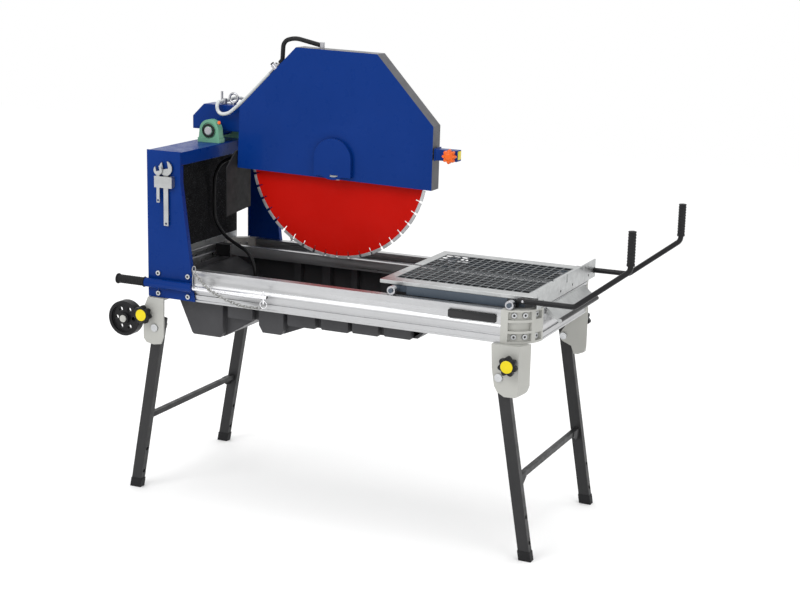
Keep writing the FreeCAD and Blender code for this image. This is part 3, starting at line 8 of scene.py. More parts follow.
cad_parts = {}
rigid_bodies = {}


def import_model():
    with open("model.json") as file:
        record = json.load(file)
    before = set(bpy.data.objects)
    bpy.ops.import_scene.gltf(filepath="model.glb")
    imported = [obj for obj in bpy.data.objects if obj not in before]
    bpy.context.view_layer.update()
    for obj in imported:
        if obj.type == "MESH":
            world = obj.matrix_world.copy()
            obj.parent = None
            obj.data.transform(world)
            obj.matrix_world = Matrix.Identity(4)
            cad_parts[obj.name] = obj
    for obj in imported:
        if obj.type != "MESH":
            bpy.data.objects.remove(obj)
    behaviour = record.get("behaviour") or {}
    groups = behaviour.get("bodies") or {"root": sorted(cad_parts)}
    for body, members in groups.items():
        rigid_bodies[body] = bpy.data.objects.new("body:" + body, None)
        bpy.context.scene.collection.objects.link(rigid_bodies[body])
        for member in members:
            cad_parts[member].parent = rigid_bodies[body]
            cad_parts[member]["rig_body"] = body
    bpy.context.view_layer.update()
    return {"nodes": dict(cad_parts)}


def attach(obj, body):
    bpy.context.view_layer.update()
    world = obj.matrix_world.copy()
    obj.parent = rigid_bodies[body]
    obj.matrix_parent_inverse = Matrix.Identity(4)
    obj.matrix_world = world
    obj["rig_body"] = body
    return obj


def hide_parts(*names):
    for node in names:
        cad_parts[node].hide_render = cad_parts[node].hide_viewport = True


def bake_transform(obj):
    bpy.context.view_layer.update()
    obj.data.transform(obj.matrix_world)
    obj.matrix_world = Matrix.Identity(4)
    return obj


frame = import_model()
print("stage: frame loaded,", len(frame["nodes"]), "nodes")

mm = 0.001
rowShift = 223.75  # mm from the design's x of zero to the row's middle


cameraSettings = {
    "azimuth": 24.675,  # degrees round the saw from its near side
    "elevation": 13.218,
    "roll": 1.309,
    "place": (2.39828, -5.15513, 2.08522),
    "lens": 73.83,
    "sensor": 36.0,
}


def makeCamera(settings):
    a = math.radians(settings["azimuth"])
    e = math.radians(settings["elevation"])
    r = math.radians(settings["roll"])
    back = Vector((math.sin(a) * math.cos(e), -math.cos(a) * math.cos(e), math.sin(e)))
    right = (-back).cross(Vector((0, 0, 1))).normalized()
    up = right.cross(-back)
    rolledRight = right * math.cos(r) + up * math.sin(r)
    rolledUp = up * math.cos(r) - right * math.sin(r)
    data = bpy.data.cameras.new("camera")
    data.lens = settings["lens"]
    data.sensor_width = settings["sensor"]
    camera = bpy.data.objects.new("camera", data)
    bpy.context.scene.collection.objects.link(camera)
    axes = [rolledRight, rolledUp, back]
    place = Vector(settings["place"])
    rows = [[*(axis[row] for axis in axes), place[row]] for row in range(3)]
    camera.matrix_world = Matrix(rows + [[0, 0, 0, 1]])
    bpy.context.scene.camera = camera


makeCamera(cameraSettings)


def linkMesh(name, mesh):
    piece = bpy.data.objects.new(name, mesh)
    bpy.context.scene.collection.objects.link(piece)
    return piece


# A mesh from an array of points and a list of faces, normals turned outwards
def meshFrom(name, points, faces):
    mesh = bpy.data.meshes.new(name)
    mesh.from_pydata(np.asarray(points, float).tolist(), [], [list(map(int, f)) for f in faces])
    work = bmesh.new()
    work.from_mesh(mesh)
    bmesh.ops.remove_doubles(work, verts=work.verts, dist=1e-6)
    bmesh.ops.recalc_face_normals(work, faces=work.faces)
    work.to_mesh(mesh)
    work.free()
    return mesh


def smoothed(mesh, degrees=35):
    mesh.polygons.foreach_set("use_smooth", np.ones(len(mesh.polygons), bool))
    mesh.set_sharp_from_angle(angle=math.radians(degrees))


def finish(piece, body, material, stands=()):
    piece.data.materials.clear()
    piece.data.materials.append(material)
    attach(piece, body)
    if stands:
        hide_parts(*stands)
    return piece


def bodyOf(node):
    return frame["nodes"][node]["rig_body"]


# A merged copy of a CAD node's mesh, smooth below the given angle
def mergedCopy(node, angle=32):
    work = bmesh.new()
    work.from_mesh(frame["nodes"][node].data)
    bmesh.ops.remove_doubles(work, verts=work.verts, dist=2e-6)
    bmesh.ops.dissolve_limit(work, angle_limit=math.radians(0.6), verts=work.verts, edges=work.edges)
    mesh = bpy.data.meshes.new(node + "_soft")
    work.to_mesh(mesh)
    work.free()
    smoothed(mesh, angle)
    return mesh


# The merged copy with its sharp edges rounded by width
def softened(node, width, material, angle=32):
    piece = linkMesh(node + "_finished", mergedCopy(node, angle))
    bevel = piece.modifiers.new("rounded", "BEVEL")
    bevel.width = width
    bevel.segments = 2
    bevel.limit_method = "ANGLE"
    bevel.angle_limit = math.radians(angle)
    bevel.use_clamp_overlap = True
    bevel.harden_normals = True
    return finish(piece, bodyOf(node), material, [node])


# Quads of a grid whose point (i, j) has the index i * columns + j
def gridFaces(rows, columns, closedRows=False, closedColumns=False, offset=0):
    i = np.arange(rows if closedRows else rows - 1)
    j = np.arange(columns if closedColumns else columns - 1)
    ii, jj = np.meshgrid(i, j, indexing="ij")
    ni = (ii + 1) % rows
    nj = (jj + 1) % columns
    quads = np.stack([ii * columns + jj, ni * columns + jj, ni * columns + nj, ii * columns + nj], -1)
    return (quads.reshape(-1, 4) + offset).tolist()


# Tangent and two normals carried along a path without twisting
def frameAlong(path):
    path = np.asarray(path, float)
    tangent = np.gradient(path, axis=0)
    tangent /= np.linalg.norm(tangent, axis=1)[:, None]
    start = np.array([0.0, 0.0, 1.0]) if abs(tangent[0][2]) < 0.8 else np.array([0.0, 1.0, 0.0])
    normals = []
    side = np.cross(tangent[0], start)
    side /= np.linalg.norm(side)
    for t in tangent:
        side = side - t * side.dot(t)
        side /= np.linalg.norm(side)
        normals.append(side.copy())
    normals = np.array(normals)
    return tangent, normals, np.cross(tangent, normals)


# Points path + radius * (cos, sin) in the plane across it; radius may change along the path
def tubeAlong(name, path, radius, sides=20):
    path = np.asarray(path, float)
    tangent, first, second = frameAlong(path)
    radii = np.broadcast_to(np.asarray(radius, float), (len(path),))
    angle = np.linspace(0, 2 * math.pi, sides, endpoint=False)
    ring = first[:, None] * np.cos(angle)[None, :, None] + second[:, None] * np.sin(angle)[None, :, None]
    points = path[:, None] + ring * radii[:, None, None]
    rows = len(path)
    faces = gridFaces(rows, sides, closedColumns=True)
    faces.append(list(range(sides)))
    faces.append(list(range((rows - 1) * sides, rows * sides)))
    mesh = meshFrom(name, points.reshape(-1, 3), faces)
    smoothed(mesh, 50)
    return mesh


# A profile of (distance along the axis, radius) turned round the axis through centre
def turnedShape(name, profile, centre, axis, sides=64):
    axis = np.asarray(axis, float) / np.linalg.norm(axis)
    helper = np.array([0.0, 0.0, 1.0]) if abs(axis[2]) < 0.9 else np.array([1.0, 0.0, 0.0])
    first = np.cross(axis, helper)
    first /= np.linalg.norm(first)
    second = np.cross(axis, first)
    profile = np.asarray(profile, float)
    angle = np.linspace(0, 2 * math.pi, sides, endpoint=False)
    ring = first[None, :] * np.cos(angle)[:, None] + second[None, :] * np.sin(angle)[:, None]
    along = profile[:, 0, None, None] * axis
    points = np.asarray(centre, float) + along + profile[:, 1, None, None] * ring[None]
    faces = gridFaces(len(profile), sides, closedColumns=True)
    mesh = meshFrom(name, points.reshape(-1, 3), faces)
    smoothed(mesh, 40)
    return mesh


def newMaterial(name, base, rough, metal=0.0, coat=0.0, coatRough=0.1, specular=0.25):
    material = bpy.data.materials.new(name)
    material.use_nodes = True
    shader = material.node_tree.nodes["Principled BSDF"]
    shader.inputs["Base Color"].default_value = (*base, 1.0)
    shader.inputs["Roughness"].default_value = rough
    shader.inputs["Metallic"].default_value = metal
    shader.inputs["Coat Weight"].default_value = coat
    shader.inputs["Coat Roughness"].default_value = coatRough
    shader.inputs["Specular IOR Level"].default_value = specular
    return material


def nodeOf(material, kind, **values):
    node = material.node_tree.nodes.new(kind)
    for key, value in values.items():
        setattr(node, key, value)
    return node


def joinNodes(material, pairs):
    for source, target in pairs:
        material.node_tree.links.new(source, target)


def objectCoords(material, scale=(1, 1, 1), turn=(0, 0, 0)):
    coords = nodeOf(material, "ShaderNodeTexCoord")
    mapping = nodeOf(material, "ShaderNodeMapping")
    mapping.inputs["Scale"].default_value = scale
    mapping.inputs["Rotation"].default_value = turn
    joinNodes(material, [(coords.outputs["Object"], mapping.inputs["Vector"])])
    return mapping.outputs["Vector"]


def noiseOn(material, vector, scale, detail=3.0, rough=0.5, distort=0.0):
    noise = nodeOf(material, "ShaderNodeTexNoise")
    noise.inputs["Scale"].default_value = scale
    noise.inputs["Detail"].default_value = detail
    noise.inputs["Roughness"].default_value = rough
    noise.inputs["Distortion"].default_value = distort
    joinNodes(material, [(vector, noise.inputs["Vector"])])
    return noise.outputs["Fac"]


def rampOn(material, value, stops):
    ramp = nodeOf(material, "ShaderNodeValToRGB")
    elements = ramp.color_ramp.elements
    while len(elements) < len(stops):
        elements.new(0.5)
    for element, (position, color) in zip(elements, stops):
        element.position = position
        element.color = (*color, 1.0)
    joinNodes(material, [(value, ramp.inputs["Fac"])])
    return ramp.outputs["Color"]


def spreadOf(material, value, low, high, fromLow=0.3, fromHigh=0.7):
    spread = nodeOf(material, "ShaderNodeMapRange")
    spread.inputs["From Min"].default_value = fromLow
    spread.inputs["From Max"].default_value = fromHigh
    spread.inputs["To Min"].default_value = low
    spread.inputs["To Max"].default_value = high
    joinNodes(material, [(value, spread.inputs["Value"])])
    return spread.outputs["Result"]


def addBump(material, height, strength, distance):
    shader = material.node_tree.nodes["Principled BSDF"]
    bump = nodeOf(material, "ShaderNodeBump")
    bump.inputs["Strength"].default_value = strength
    bump.inputs["Distance"].default_value = distance
    joinNodes(material, [(height, bump.inputs["Height"]), (bump.outputs["Normal"], shader.inputs["Normal"])])


# Sprayed enamel: colour drifts a little, roughness drifts, and the coat has a fine orange peel
def paintFinish(name, base, rough=0.22, flecks=0.06, peel=0.05, coat=0.6, dirtAmount=0.05, specular=0.25):
    dirt = (0.35, 0.34, 0.31)
    material = newMaterial(name, base, rough, coat=coat, coatRough=0.06, specular=specular)
    shader = material.node_tree.nodes["Principled BSDF"]
    vector = objectCoords(material)
    drift = noiseOn(material, vector, 3.5, 4.0, 0.55)
    darker = tuple(c * (1 - flecks) for c in base)
    lighter = tuple(min(1.0, c * (1 + flecks) + 0.002) for c in base)
    color = rampOn(material, drift, [(0.3, darker), (0.7, lighter)])
    dust = spreadOf(material, noiseOn(material, vector, 11.0, 7.0, 0.7), 0.0, dirtAmount, 0.5, 0.85)
    mix = nodeOf(material, "ShaderNodeMix", data_type="RGBA")
    mix.inputs[7].default_value = (*dirt, 1.0)
    joinNodes(material, [(dust, mix.inputs[0]), (color, mix.inputs[6]),
                         (mix.outputs[2], shader.inputs["Base Color"])])
    roughness = spreadOf(material, noiseOn(material, vector, 24.0, 5.0, 0.6), rough * 0.75, rough * 1.35)
    joinNodes(material, [(roughness, shader.inputs["Roughness"])])
    addBump(material, noiseOn(material, vector, 420.0, 2.0, 0.5), peel, 0.0004)
    return material


# Metal with a directional grain: noise stretched along one axis drives roughness and a shallow bump
def metalFinish(name, base, rough, along=(1, 1, 1), grain=0.25, spots=0.08, metal=1.0):
    material = newMaterial(name, base, rough, metal=metal)
    shader = material.node_tree.nodes["Principled BSDF"]
    stretched = objectCoords(material, along)
    vector = objectCoords(material)
    lines = noiseOn(material, stretched, 60.0, 4.0, 0.6)
    cloud = noiseOn(material, vector, 14.0, 5.0, 0.6)
    darker = tuple(c * (1 - spots) for c in base)
    lighter = tuple(min(1.0, c * (1 + spots * 0.6)) for c in base)
    color = rampOn(material, cloud, [(0.32, darker), (0.68, lighter)])
    joinNodes(material, [(color, shader.inputs["Base Color"])])
    roughness = spreadOf(material, lines, rough * 0.7, rough * 1.4, 0.3, 0.7)
    joinNodes(material, [(roughness, shader.inputs["Roughness"])])
    addBump(material, lines, grain, 0.0003)
    return material


# Moulded or cast surface: fine pebble grain in the bump, soft drift in the colour, optional light specks
def grainFinish(name, base, rough, scale=260.0, bump=0.35, depth=0.0006, speck=None, coat=0.0, specular=0.2):
    drift = 0.12
    material = newMaterial(name, base, rough, coat=coat, specular=specular)
    shader = material.node_tree.nodes["Principled BSDF"]
    vector = objectCoords(material)
    cloud = noiseOn(material, vector, 9.0, 5.0, 0.6)
    darker = tuple(c * (1 - drift) for c in base)
    lighter = tuple(min(1.0, c * (1 + drift) + 0.002) for c in base)
    color = rampOn(material, cloud, [(0.3, darker), (0.7, lighter)])
    if speck:
        share = spreadOf(material, noiseOn(material, vector, 330.0, 2.0, 0.5), 0.0, 1.0, 0.62, 0.67)
        mix = nodeOf(material, "ShaderNodeMix", data_type="RGBA")
        mix.inputs[7].default_value = (*speck, 1.0)
        joinNodes(material, [(share, mix.inputs[0]), (color, mix.inputs[6])])
        color = mix.outputs[2]
    joinNodes(material, [(color, shader.inputs["Base Color"])])
    roughCloud = noiseOn(material, vector, 40.0, 4.0, 0.6)
    roughness = spreadOf(material, roughCloud, rough * 0.85, min(1.0, rough * 1.15))
    joinNodes(material, [(roughness, shader.inputs["Roughness"])])
    addBump(material, noiseOn(material, vector, scale, 3.0, 0.6), bump, depth)
    return material


print("stage: materials")
blueEnamel = paintFinish("blueEnamel", (0.0006, 0.024, 0.160), rough=0.3, coat=0.07, dirtAmount=0.004,
                         specular=0.06)
railSilver = metalFinish("railSilver", (0.47, 0.473, 0.48), 0.34, along=(0.02, 1, 1), grain=0.12, spots=0.04)
castGrey = paintFinish("castGrey", (0.39, 0.39, 0.365), rough=0.45, coat=0.05, peel=0.3, flecks=0.07)
zincPlate = metalFinish("zincPlate", (0.50, 0.51, 0.52), 0.30, grain=0.1, spots=0.14)
galvanisedSheet = metalFinish("galvanisedSheet", (0.46, 0.47, 0.47), 0.38, grain=0.08, spots=0.12)
slatePaint = paintFinish("slatePaint", (0.055, 0.072, 0.095), rough=0.34, coat=0.12)
rimGrey = paintFinish("rimGrey", (0.050, 0.050, 0.058), rough=0.34, coat=0.1)
meshPaint = paintFinish("meshPaint", (0.100, 0.108, 0.115), rough=0.36, coat=0.15)
legCoat = paintFinish("legCoat", (0.019, 0.019, 0.020), rough=0.42, coat=0.03, peel=0.25, dirtAmount=0.02)
blackRubber = grainFinish("blackRubber", (0.010, 0.010, 0.011), 0.62, scale=300.0)
speckledRubber = grainFinish("speckledRubber", (0.004, 0.004, 0.005), 0.9, scale=180.0, bump=0.7, depth=0.0012,
                             speck=(0.075, 0.078, 0.085))
flapRubber = grainFinish("flapRubber", (0.018, 0.018, 0.019), 0.7, scale=160.0, bump=0.4)
blackPlastic = grainFinish("blackPlastic", (0.007, 0.007, 0.008), 0.36, scale=340.0, bump=0.18)
trayPlastic = grainFinish("trayPlastic", (0.045, 0.045, 0.048), 0.45, scale=240.0, bump=0.3)
pumpPlastic = grainFinish("pumpPlastic", (0.012, 0.022, 0.05), 0.4)
clearPlastic = grainFinish("clearPlastic", (0.52, 0.54, 0.54), 0.22, scale=60.0, bump=0.05, coat=0.5)
greenCast = grainFinish("greenCast", (0.135, 0.330, 0.215), 0.42, scale=120.0, bump=0.35, coat=0.15)
redEnamel = paintFinish("redEnamel", (0.46, 0.003, 0.0), rough=0.4, coat=0.0, peel=0.1, dirtAmount=0.004,
                        specular=0.06)
segmentMetal = metalFinish("segmentMetal", (0.46, 0.46, 0.47), 0.42, grain=0.5, spots=0.2)
machinedSteel = metalFinish("machinedSteel", (0.44, 0.44, 0.46), 0.24, grain=0.15, spots=0.05)
orangePlastic = grainFinish("orangePlastic", (0.66, 0.105, 0.008), 0.38, bump=0.1, coat=0.15)
redPlastic = grainFinish("redPlastic", (0.60, 0.012, 0.006), 0.3, bump=0.06, coat=0.2)
greenPlastic = grainFinish("greenPlastic", (0.02, 0.28, 0.05), 0.3, bump=0.06, coat=0.2)
yellowPlastic = grainFinish("yellowPlastic", (0.62, 0.50, 0.003), 0.38, bump=0.08, coat=0.15)
chainSteel = metalFinish("chainSteel", (0.36, 0.36, 0.35), 0.30, grain=0.1, spots=0.2)
chromePlate = metalFinish("chromePlate", (0.76, 0.76, 0.78), 0.10, grain=0.02, spots=0.03)
labelBlack = grainFinish("labelBlack", (0.010, 0.010, 0.011), 0.34, bump=0.05, coat=0.3)
# Near-black used as painted shade: it stands in for the dark inside the hollow rod ends and the bolts' hex sockets
paintedRecessShade = grainFinish("paintedRecessShade", (0.030, 0.030, 0.031), 0.6, bump=0.05)

# CAD nodes kept as they are, with their edges rounded: node, radius in mm, finish, record slot
finishes = [
    ("post_near", 1.6, blueEnamel, "blue_paint"), ("post_far", 1.6, blueEnamel, "blue_paint"),
    ("cross_beam", 2.2, blueEnamel, "blue_paint"), ("tilt_arm", 2.0, blueEnamel, "blue_paint"),
    ("hub_cover", 1.4, blueEnamel, "blue_paint"), ("guard_bracket", 1.6, blueEnamel, "blue_paint"),
    ("motor", 1.0, blueEnamel, "motor_paint"), ("side_rails", 0.8, railSilver, "rail_aluminium"),
    ("end_rails", 0.8, railSilver, "rail_aluminium"), ("corner_castings", 2.0, castGrey, "grey_casting"),
    ("leg_housings_front", 3.0, castGrey, "grey_casting"), ("leg_housings_rear", 3.0, castGrey, "grey_casting"),
    ("leg_frame_front", 2.0, legCoat, "leg_paint"), ("leg_frame_rear", 2.0, legCoat, "leg_paint"),
    ("leg_caps_front", 1.5, blackRubber, "black_rubber"), ("leg_caps_rear", 1.5, blackRubber, "black_rubber"),
    ("fasteners", 0.8, zincPlate, "zinc_steel"), ("pillow_blocks", 2.5, greenCast, "bearing_green"),
    ("water_tray", 2.5, trayPlastic, "tray_plastic"), ("water_pump", 2.0, pumpPlastic, "pump_plastic"),
    ("curtain_strips", 0.8, galvanisedSheet, "galvanised_sheet"),
    ("guard_flap", 1.2, flapRubber, "black_rubber"), ("splash_lip", 0.8, galvanisedSheet, "galvanised_sheet"),
    ("spanner_holder", 0.8, galvanisedSheet, "galvanised_sheet"),
    ("table_frame", 1.2, galvanisedSheet, "galvanised_sheet"), ("table_mesh", 0.4, meshPaint, "zinc_steel"),
    ("table_fence", 0.8, galvanisedSheet, "galvanised_sheet"),
    ("table_runners", 1.2, slatePaint, "slate_paint"), ("rollers_rear", 1.0, machinedSteel, "machined_steel"),
    ("rollers_front", 1.0, machinedSteel, "machined_steel"), ("switch_box", 2.0, blackPlastic, "black_plastic"),
    ("start_button", 1.0, greenPlastic, "green_plastic"), ("stop_button", 1.5, redPlastic, "red_plastic"),
    ("water_valve", 0.8, machinedSteel, "brass_fitting"), ("valve_lever", 0.6, blackPlastic, "zinc_steel"),
    ("blade_core", 0.3, redEnamel, "red_enamel"), ("blade_segments", 0.4, segmentMetal, "segment_metal"),
    ("blade_clamp", 0.8, zincPlate, "zinc_steel"), ("spindle_shaft", 0.8, machinedSteel, "machined_steel"),
    ("motor_shaft", 0.8, machinedSteel, "machined_steel"),
    ("spindle_bearings", 0.5, machinedSteel, "machined_steel"),
    ("pivot_shaft", 0.8, machinedSteel, "machined_steel"), ("drive_belt", 0.8, blackRubber, "black_rubber"),
    ("hose_upper", 0.1, clearPlastic, "clear_hose"),
    ("transport_wheel_near", 1.5, blackPlastic, "black_plastic"),
    ("transport_wheel_far", 1.5, blackPlastic, "black_plastic"),
    ("feed_hose", 0.1, blackRubber, "black_rubber"),
]
for node, width, material, slot in finishes:
    softened(node, width * mm, material)
print("stage: rounded pieces")


# A point of the design, in mm, in the row's frame
def at(x, y, z):
    return np.array([(x - rowShift) * mm, y * mm, z * mm])


# Points of a smooth curve through the given ones: four-point cubic on each span
def curveThrough(points, perSpan=10):
    p = np.asarray(points, float)
    p = np.vstack([2 * p[0] - p[1], p, 2 * p[-1] - p[-2]])
    t = np.linspace(0, 1, perSpan, endpoint=False)[:, None]
    spans = [0.5 * (2 * b + (c - a) * t + (2 * a - 5 * b + 4 * c - d) * t ** 2
                    + (3 * b - a - 3 * c + d) * t ** 3)
             for a, b, c, d in zip(p[:-3], p[1:-2], p[2:-1], p[3:])]
    return np.vstack([*spans, p[-2:-1]])


# Several meshes in one
def together(name, meshes):
    work = bmesh.new()
    for mesh in meshes:
        work.from_mesh(mesh)
    mesh = bpy.data.meshes.new(name)
    work.to_mesh(mesh)
    work.free()
    smoothed(mesh, 40)
    return mesh


# Box between two corners: each outline point is the corner's centre + (corner - pull) * (cos, sin),
# and pull grows by the edge radius towards both ends of the axis
def roundedBox(name, low, high, axis, corner, edge, steps=8):
    low, high = np.minimum(low, high), np.maximum(low, high)
    u, v = [k for k in range(3) if k != axis]
    half = (high - low) / 2
    middle = (high + low) / 2
    quarter = np.linspace(0, math.pi / 2, steps)
    turn = (quarter[None, :] + np.arange(4)[:, None] * math.pi / 2).ravel()
    signU = np.repeat([1, -1, -1, 1], steps)
    signV = np.repeat([1, 1, -1, -1], steps)
    levels = [(-half[axis], edge), (-half[axis] + 0.3 * edge, 0.3 * edge), (-half[axis] + edge, 0.0),
              (half[axis] - edge, 0.0), (half[axis] - 0.3 * edge, 0.3 * edge), (half[axis], edge)]
    rings = []
    for height, pull in levels:
        ring = np.zeros((4 * steps, 3))
        ring[:, u] = middle[u] + signU * (half[u] - corner) + (corner - pull) * np.cos(turn)
        ring[:, v] = middle[v] + signV * (half[v] - corner) + (corner - pull) * np.sin(turn)
        ring[:, axis] = middle[axis] + height
        rings.append(ring)
    count = 4 * steps
    faces = gridFaces(len(levels), count, closedColumns=True)
    faces.append(list(range(count)))
    faces.append(list(range((len(levels) - 1) * count, len(levels) * count)))
    mesh = meshFrom(name, np.vstack(rings), faces)
    smoothed(mesh, 35)
    return mesh


lockKnob = {
    "lobes": 7, "tipRadius": 34.0, "valleyRadius": 26.0, "from": 356.0, "to": 381.0,
    "hubRadius": 15.0, "hubFrom": 345.5, "capRadius": 21.0, "capTo": 383.6,
    "z": 674.0, "x": {"front": 811.0, "rear": -587.0},
}


# Lobed knob: radius = (valley + (tip - valley) * (0.5 + 0.5 cos(lobes * angle)) ^ 0.7) * pull
def lobedKnob(name, centre, axis, lobes, tip, valley, profile, sides=224):
    axis = np.asarray(axis, float)
    first = np.array([0.0, 0.0, 1.0])
    second = np.cross(axis, first)
    angle = np.linspace(0, 2 * math.pi, sides, endpoint=False)
    radius = valley + (tip - valley) * (0.5 + 0.5 * np.cos(lobes * angle)) ** 0.7
    ring = (first[None] * np.cos(angle)[:, None] + second[None] * np.sin(angle)[:, None]) * radius[:, None]
    profile = np.asarray(profile, float)
    points = centre + profile[:, 0, None, None] * axis + ring[None] * profile[:, 1, None, None]
    faces = gridFaces(len(profile), sides, closedColumns=True)
    faces.append(list(range(sides)))
    faces.append(list(range((len(profile) - 1) * sides, len(profile) * sides)))
    mesh = meshFrom(name, points.reshape(-1, 3), faces)
    smoothed(mesh, 40)
    return mesh


def makeLockKnobs(s):
    for place, x in s["x"].items():
        for side, sign in (("near", -1), ("far", 1)):
            node = f"lock_knob_{place}_{side}"
            axis = (0, sign, 0)
            centre = at(x, 0, s["z"])
            low, high = s["from"], s["to"]
            pulls = [(low, 0.86), (low + 2, 0.97), (low + 5, 1.0), (high - 6, 1.0), (high - 2, 0.96), (high, 0.86)]
            star = lobedKnob("star", centre, axis, s["lobes"], s["tipRadius"] * mm, s["valleyRadius"] * mm,
                             [(d * mm, pull) for d, pull in pulls])
            hubProfile = [(s["hubFrom"], 0.1), (s["hubFrom"], s["hubRadius"]),
                          (low + 3, s["hubRadius"]), (low + 3, 0.1)]
            hub = turnedShape("hub", np.array(hubProfile) * mm, centre, axis, 48)
            knob = linkMesh(node + "_star", together(node + "_star", [star, hub]))
            finish(knob, bodyOf(node), blackPlastic, [node])
            r = s["capRadius"]
            top = s["capTo"]
            capProfile = [(high - 2, r), (top - 1.6, r), (top - 0.5, r * 0.95), (top, r * 0.82), (top, 0.1)]
            cap = turnedShape("cap", np.array(capProfile) * mm, centre, axis, 64)
            finish(linkMesh(node + "_cap", cap), bodyOf(node), yellowPlastic)


makeLockKnobs(lockKnob)

clampKnob = {
    "x": 451.0, "z": 1288.0, "from": 47.0, "to": 67.0, "tipRadius": 25.0, "valleyRadius": 18.0, "lobes": 8,
    "domeRadius": 13.0, "hubRadius": 11.0, "hubFrom": 41.5,
    "endLow": (472.5, -33.0, 1274.5), "endHigh": (474.2, -7.0, 1304.0),  # yellow face on the bracket's end
}


def makeClampKnob(s):
    centre = at(s["x"], 0, s["z"])
    low, high = s["from"], s["to"]
    pulls = [(low, 0.9), (low + 2, 1.0), (high - 5, 1.0), (high - 1.5, 0.94), (high, 0.82)]
    star = lobedKnob("clamp_star", centre, (0, -1, 0), s["lobes"], s["tipRadius"] * mm, s["valleyRadius"] * mm,
                     [(d * mm, pull) for d, pull in pulls])
    hubProfile = [(s["hubFrom"], 0.1), (s["hubFrom"], s["hubRadius"]), (low + 2, s["hubRadius"]), (low + 2, 0.1)]
    hub = turnedShape("clamp_hub", np.array(hubProfile) * mm, centre, (0, -1, 0), 40)
    r = s["domeRadius"]
    domeProfile = [(high - 1, r), (high + 1, 0.92 * r), (high + 2.2, 0.7 * r), (high + 2.8, 0.4 * r),
                   (high + 3, 0.01)]
    dome = turnedShape("clamp_dome", np.array(domeProfile) * mm, centre, (0, -1, 0), 48)
    knob = linkMesh("clamp_knob_star", together("clamp_knob_star", [star, hub, dome]))
    finish(knob, bodyOf("clamp_knob"), orangePlastic, ["clamp_knob"])
    face = roundedBox("bracket_end", at(*s["endLow"]), at(*s["endHigh"]), 0, 3 * mm, 0.4 * mm)
    finish(linkMesh("bracket_end_face", face), bodyOf("guard_bracket"), yellowPlastic)


makeClampKnob(clampKnob)

carryHandle = {
    "y": 348.0, "z": 790.0, "rodRadius": 9.0, "rodFront": -91.0, "boreShadeRadius": 5.6,
    "grip": {"near": (-705.0, -587.0), "far": (-670.0, -552.0)},
    "gripRadius": 15.0, "flareRadius": 19.0, "ribs": 14, "ribDepth": 0.9,
    "pinX": -105.0, "pinRadius": 3.4, "pinLow": 766.0, "pinHigh": 812.0,
    "eyeRadius": 13.0, "eyeWire": 1.8, "eyeZ": 764.0,
}


# Grip radius = 15 + ribDepth * sin(ribs * 2 pi * share of its length), with a flare at both ends
def makeCarryHandles(s):
    for side, sign in (("near", -1), ("far", 1)):
        node = f"carry_handle_{side}"
        rear, front = s["grip"][side]
        y = sign * s["y"]
        r = s["rodRadius"] * mm
        rodPath = np.linspace(at(front - 4, y, s["z"]), at(s["rodFront"], y, s["z"]), 12)
        radii = np.full(12, r)
        radii[-1] = r * 0.8
        pinPath = np.linspace(at(s["pinX"], y, s["pinLow"]), at(s["pinX"], y, s["pinHigh"]), 6)
        pin = tubeAlong("pin", pinPath, s["pinRadius"] * mm, 20)
        turn = np.linspace(0, 2 * math.pi, 41)
        loop = np.stack([np.sin(turn), 0 * turn, np.cos(turn)], -1) * s["eyeRadius"] * mm
        eye = tubeAlong("eye", at(s["pinX"], y, s["eyeZ"]) + loop, s["eyeWire"] * mm, 12)
        bar = tubeAlong("rod", rodPath, radii, 32)
        rod = linkMesh(node + "_rod", together(node + "_rod", [bar, pin, eye]))
        finish(rod, bodyOf(node), chromePlate, [node])
        # A thin near-black disc at the rod's front end: painted shade for the dark inside the hollow rod
        boreShadeProfile = [(-0.2, 0.01), (-0.2, s["boreShadeRadius"]), (0.25, s["boreShadeRadius"]), (0.25, 0.01)]
        boreShade = turnedShape("boreShade", np.array(boreShadeProfile) * mm, at(s["rodFront"], y, s["z"]), (1, 0, 0), 32)
        finish(linkMesh(node + "_bore_shade", boreShade), bodyOf(node), paintedRecessShade)
        share = np.linspace(0, 1, 113)
        x = rear + 7 + share * (front - rear - 13)
        ripple = s["gripRadius"] + s["ribDepth"] * np.sin(share * s["ribs"] * 2 * math.pi)
        profile = [(rear, 0.01), (rear, s["flareRadius"] - 3), (rear + 1.5, s["flareRadius"] - 0.6),
                   (rear + 3.5, s["flareRadius"]), (rear + 6, s["flareRadius"] - 0.8)]
        profile += list(zip(x, ripple))
        profile += [(front - 5, s["flareRadius"] - 0.8), (front - 3, s["flareRadius"]),
                    (front - 1, s["flareRadius"] - 0.8), (front, s["flareRadius"] - 3), (front, 9.2)]
        grip = turnedShape(node + "_grip", np.array(profile) * mm, at(0, y, s["z"]), (1, 0, 0), 48)
        finish(linkMesh(node + "_grip", grip), bodyOf(node), blackRubber)


makeCarryHandles(carryHandle)
print("stage: knobs and carrying handles")

tableHandle = {
    "y": 290.0, "path": [(807, 876), (1000, 877), (1178, 1014), (1178, 1132)], "bends": (26.0, 26.0),
    "rodRadius": 9.0, "gripRadius": 12.6, "ribDepth": 0.9, "ribs": 11, "grip": (1030.0, 1142.0),
    "flatLow": (767, 278, 850), "flatHigh": (808, 282, 874),
}


# Straight runs joined by arcs of the bend radius, each arc sampled evenly
def bentPath(points, radii, steps=12):
    p = [np.asarray(q, float) for q in points]
    out = [p[0]]
    for before, corner, after, radius in zip(p, p[1:], p[2:], radii):
        a = (before - corner) / np.linalg.norm(before - corner)
        b = (after - corner) / np.linalg.norm(after - corner)
        half = math.acos(np.clip(a.dot(b), -1, 1)) / 2
        reach = radius / math.tan(half)
        middle = corner + (a + b) / np.linalg.norm(a + b) * radius / math.sin(half)
        start, end = corner + a * reach - middle, corner + b * reach - middle
        sweep = math.acos(np.clip(start.dot(end) / radius ** 2, -1, 1))
        t = np.linspace(0, 1, steps)[:, None]
        out.extend(middle + (start * np.sin((1 - t) * sweep) + end * np.sin(t * sweep)) / math.sin(sweep))
    out.append(p[-1])
    return np.array(out)


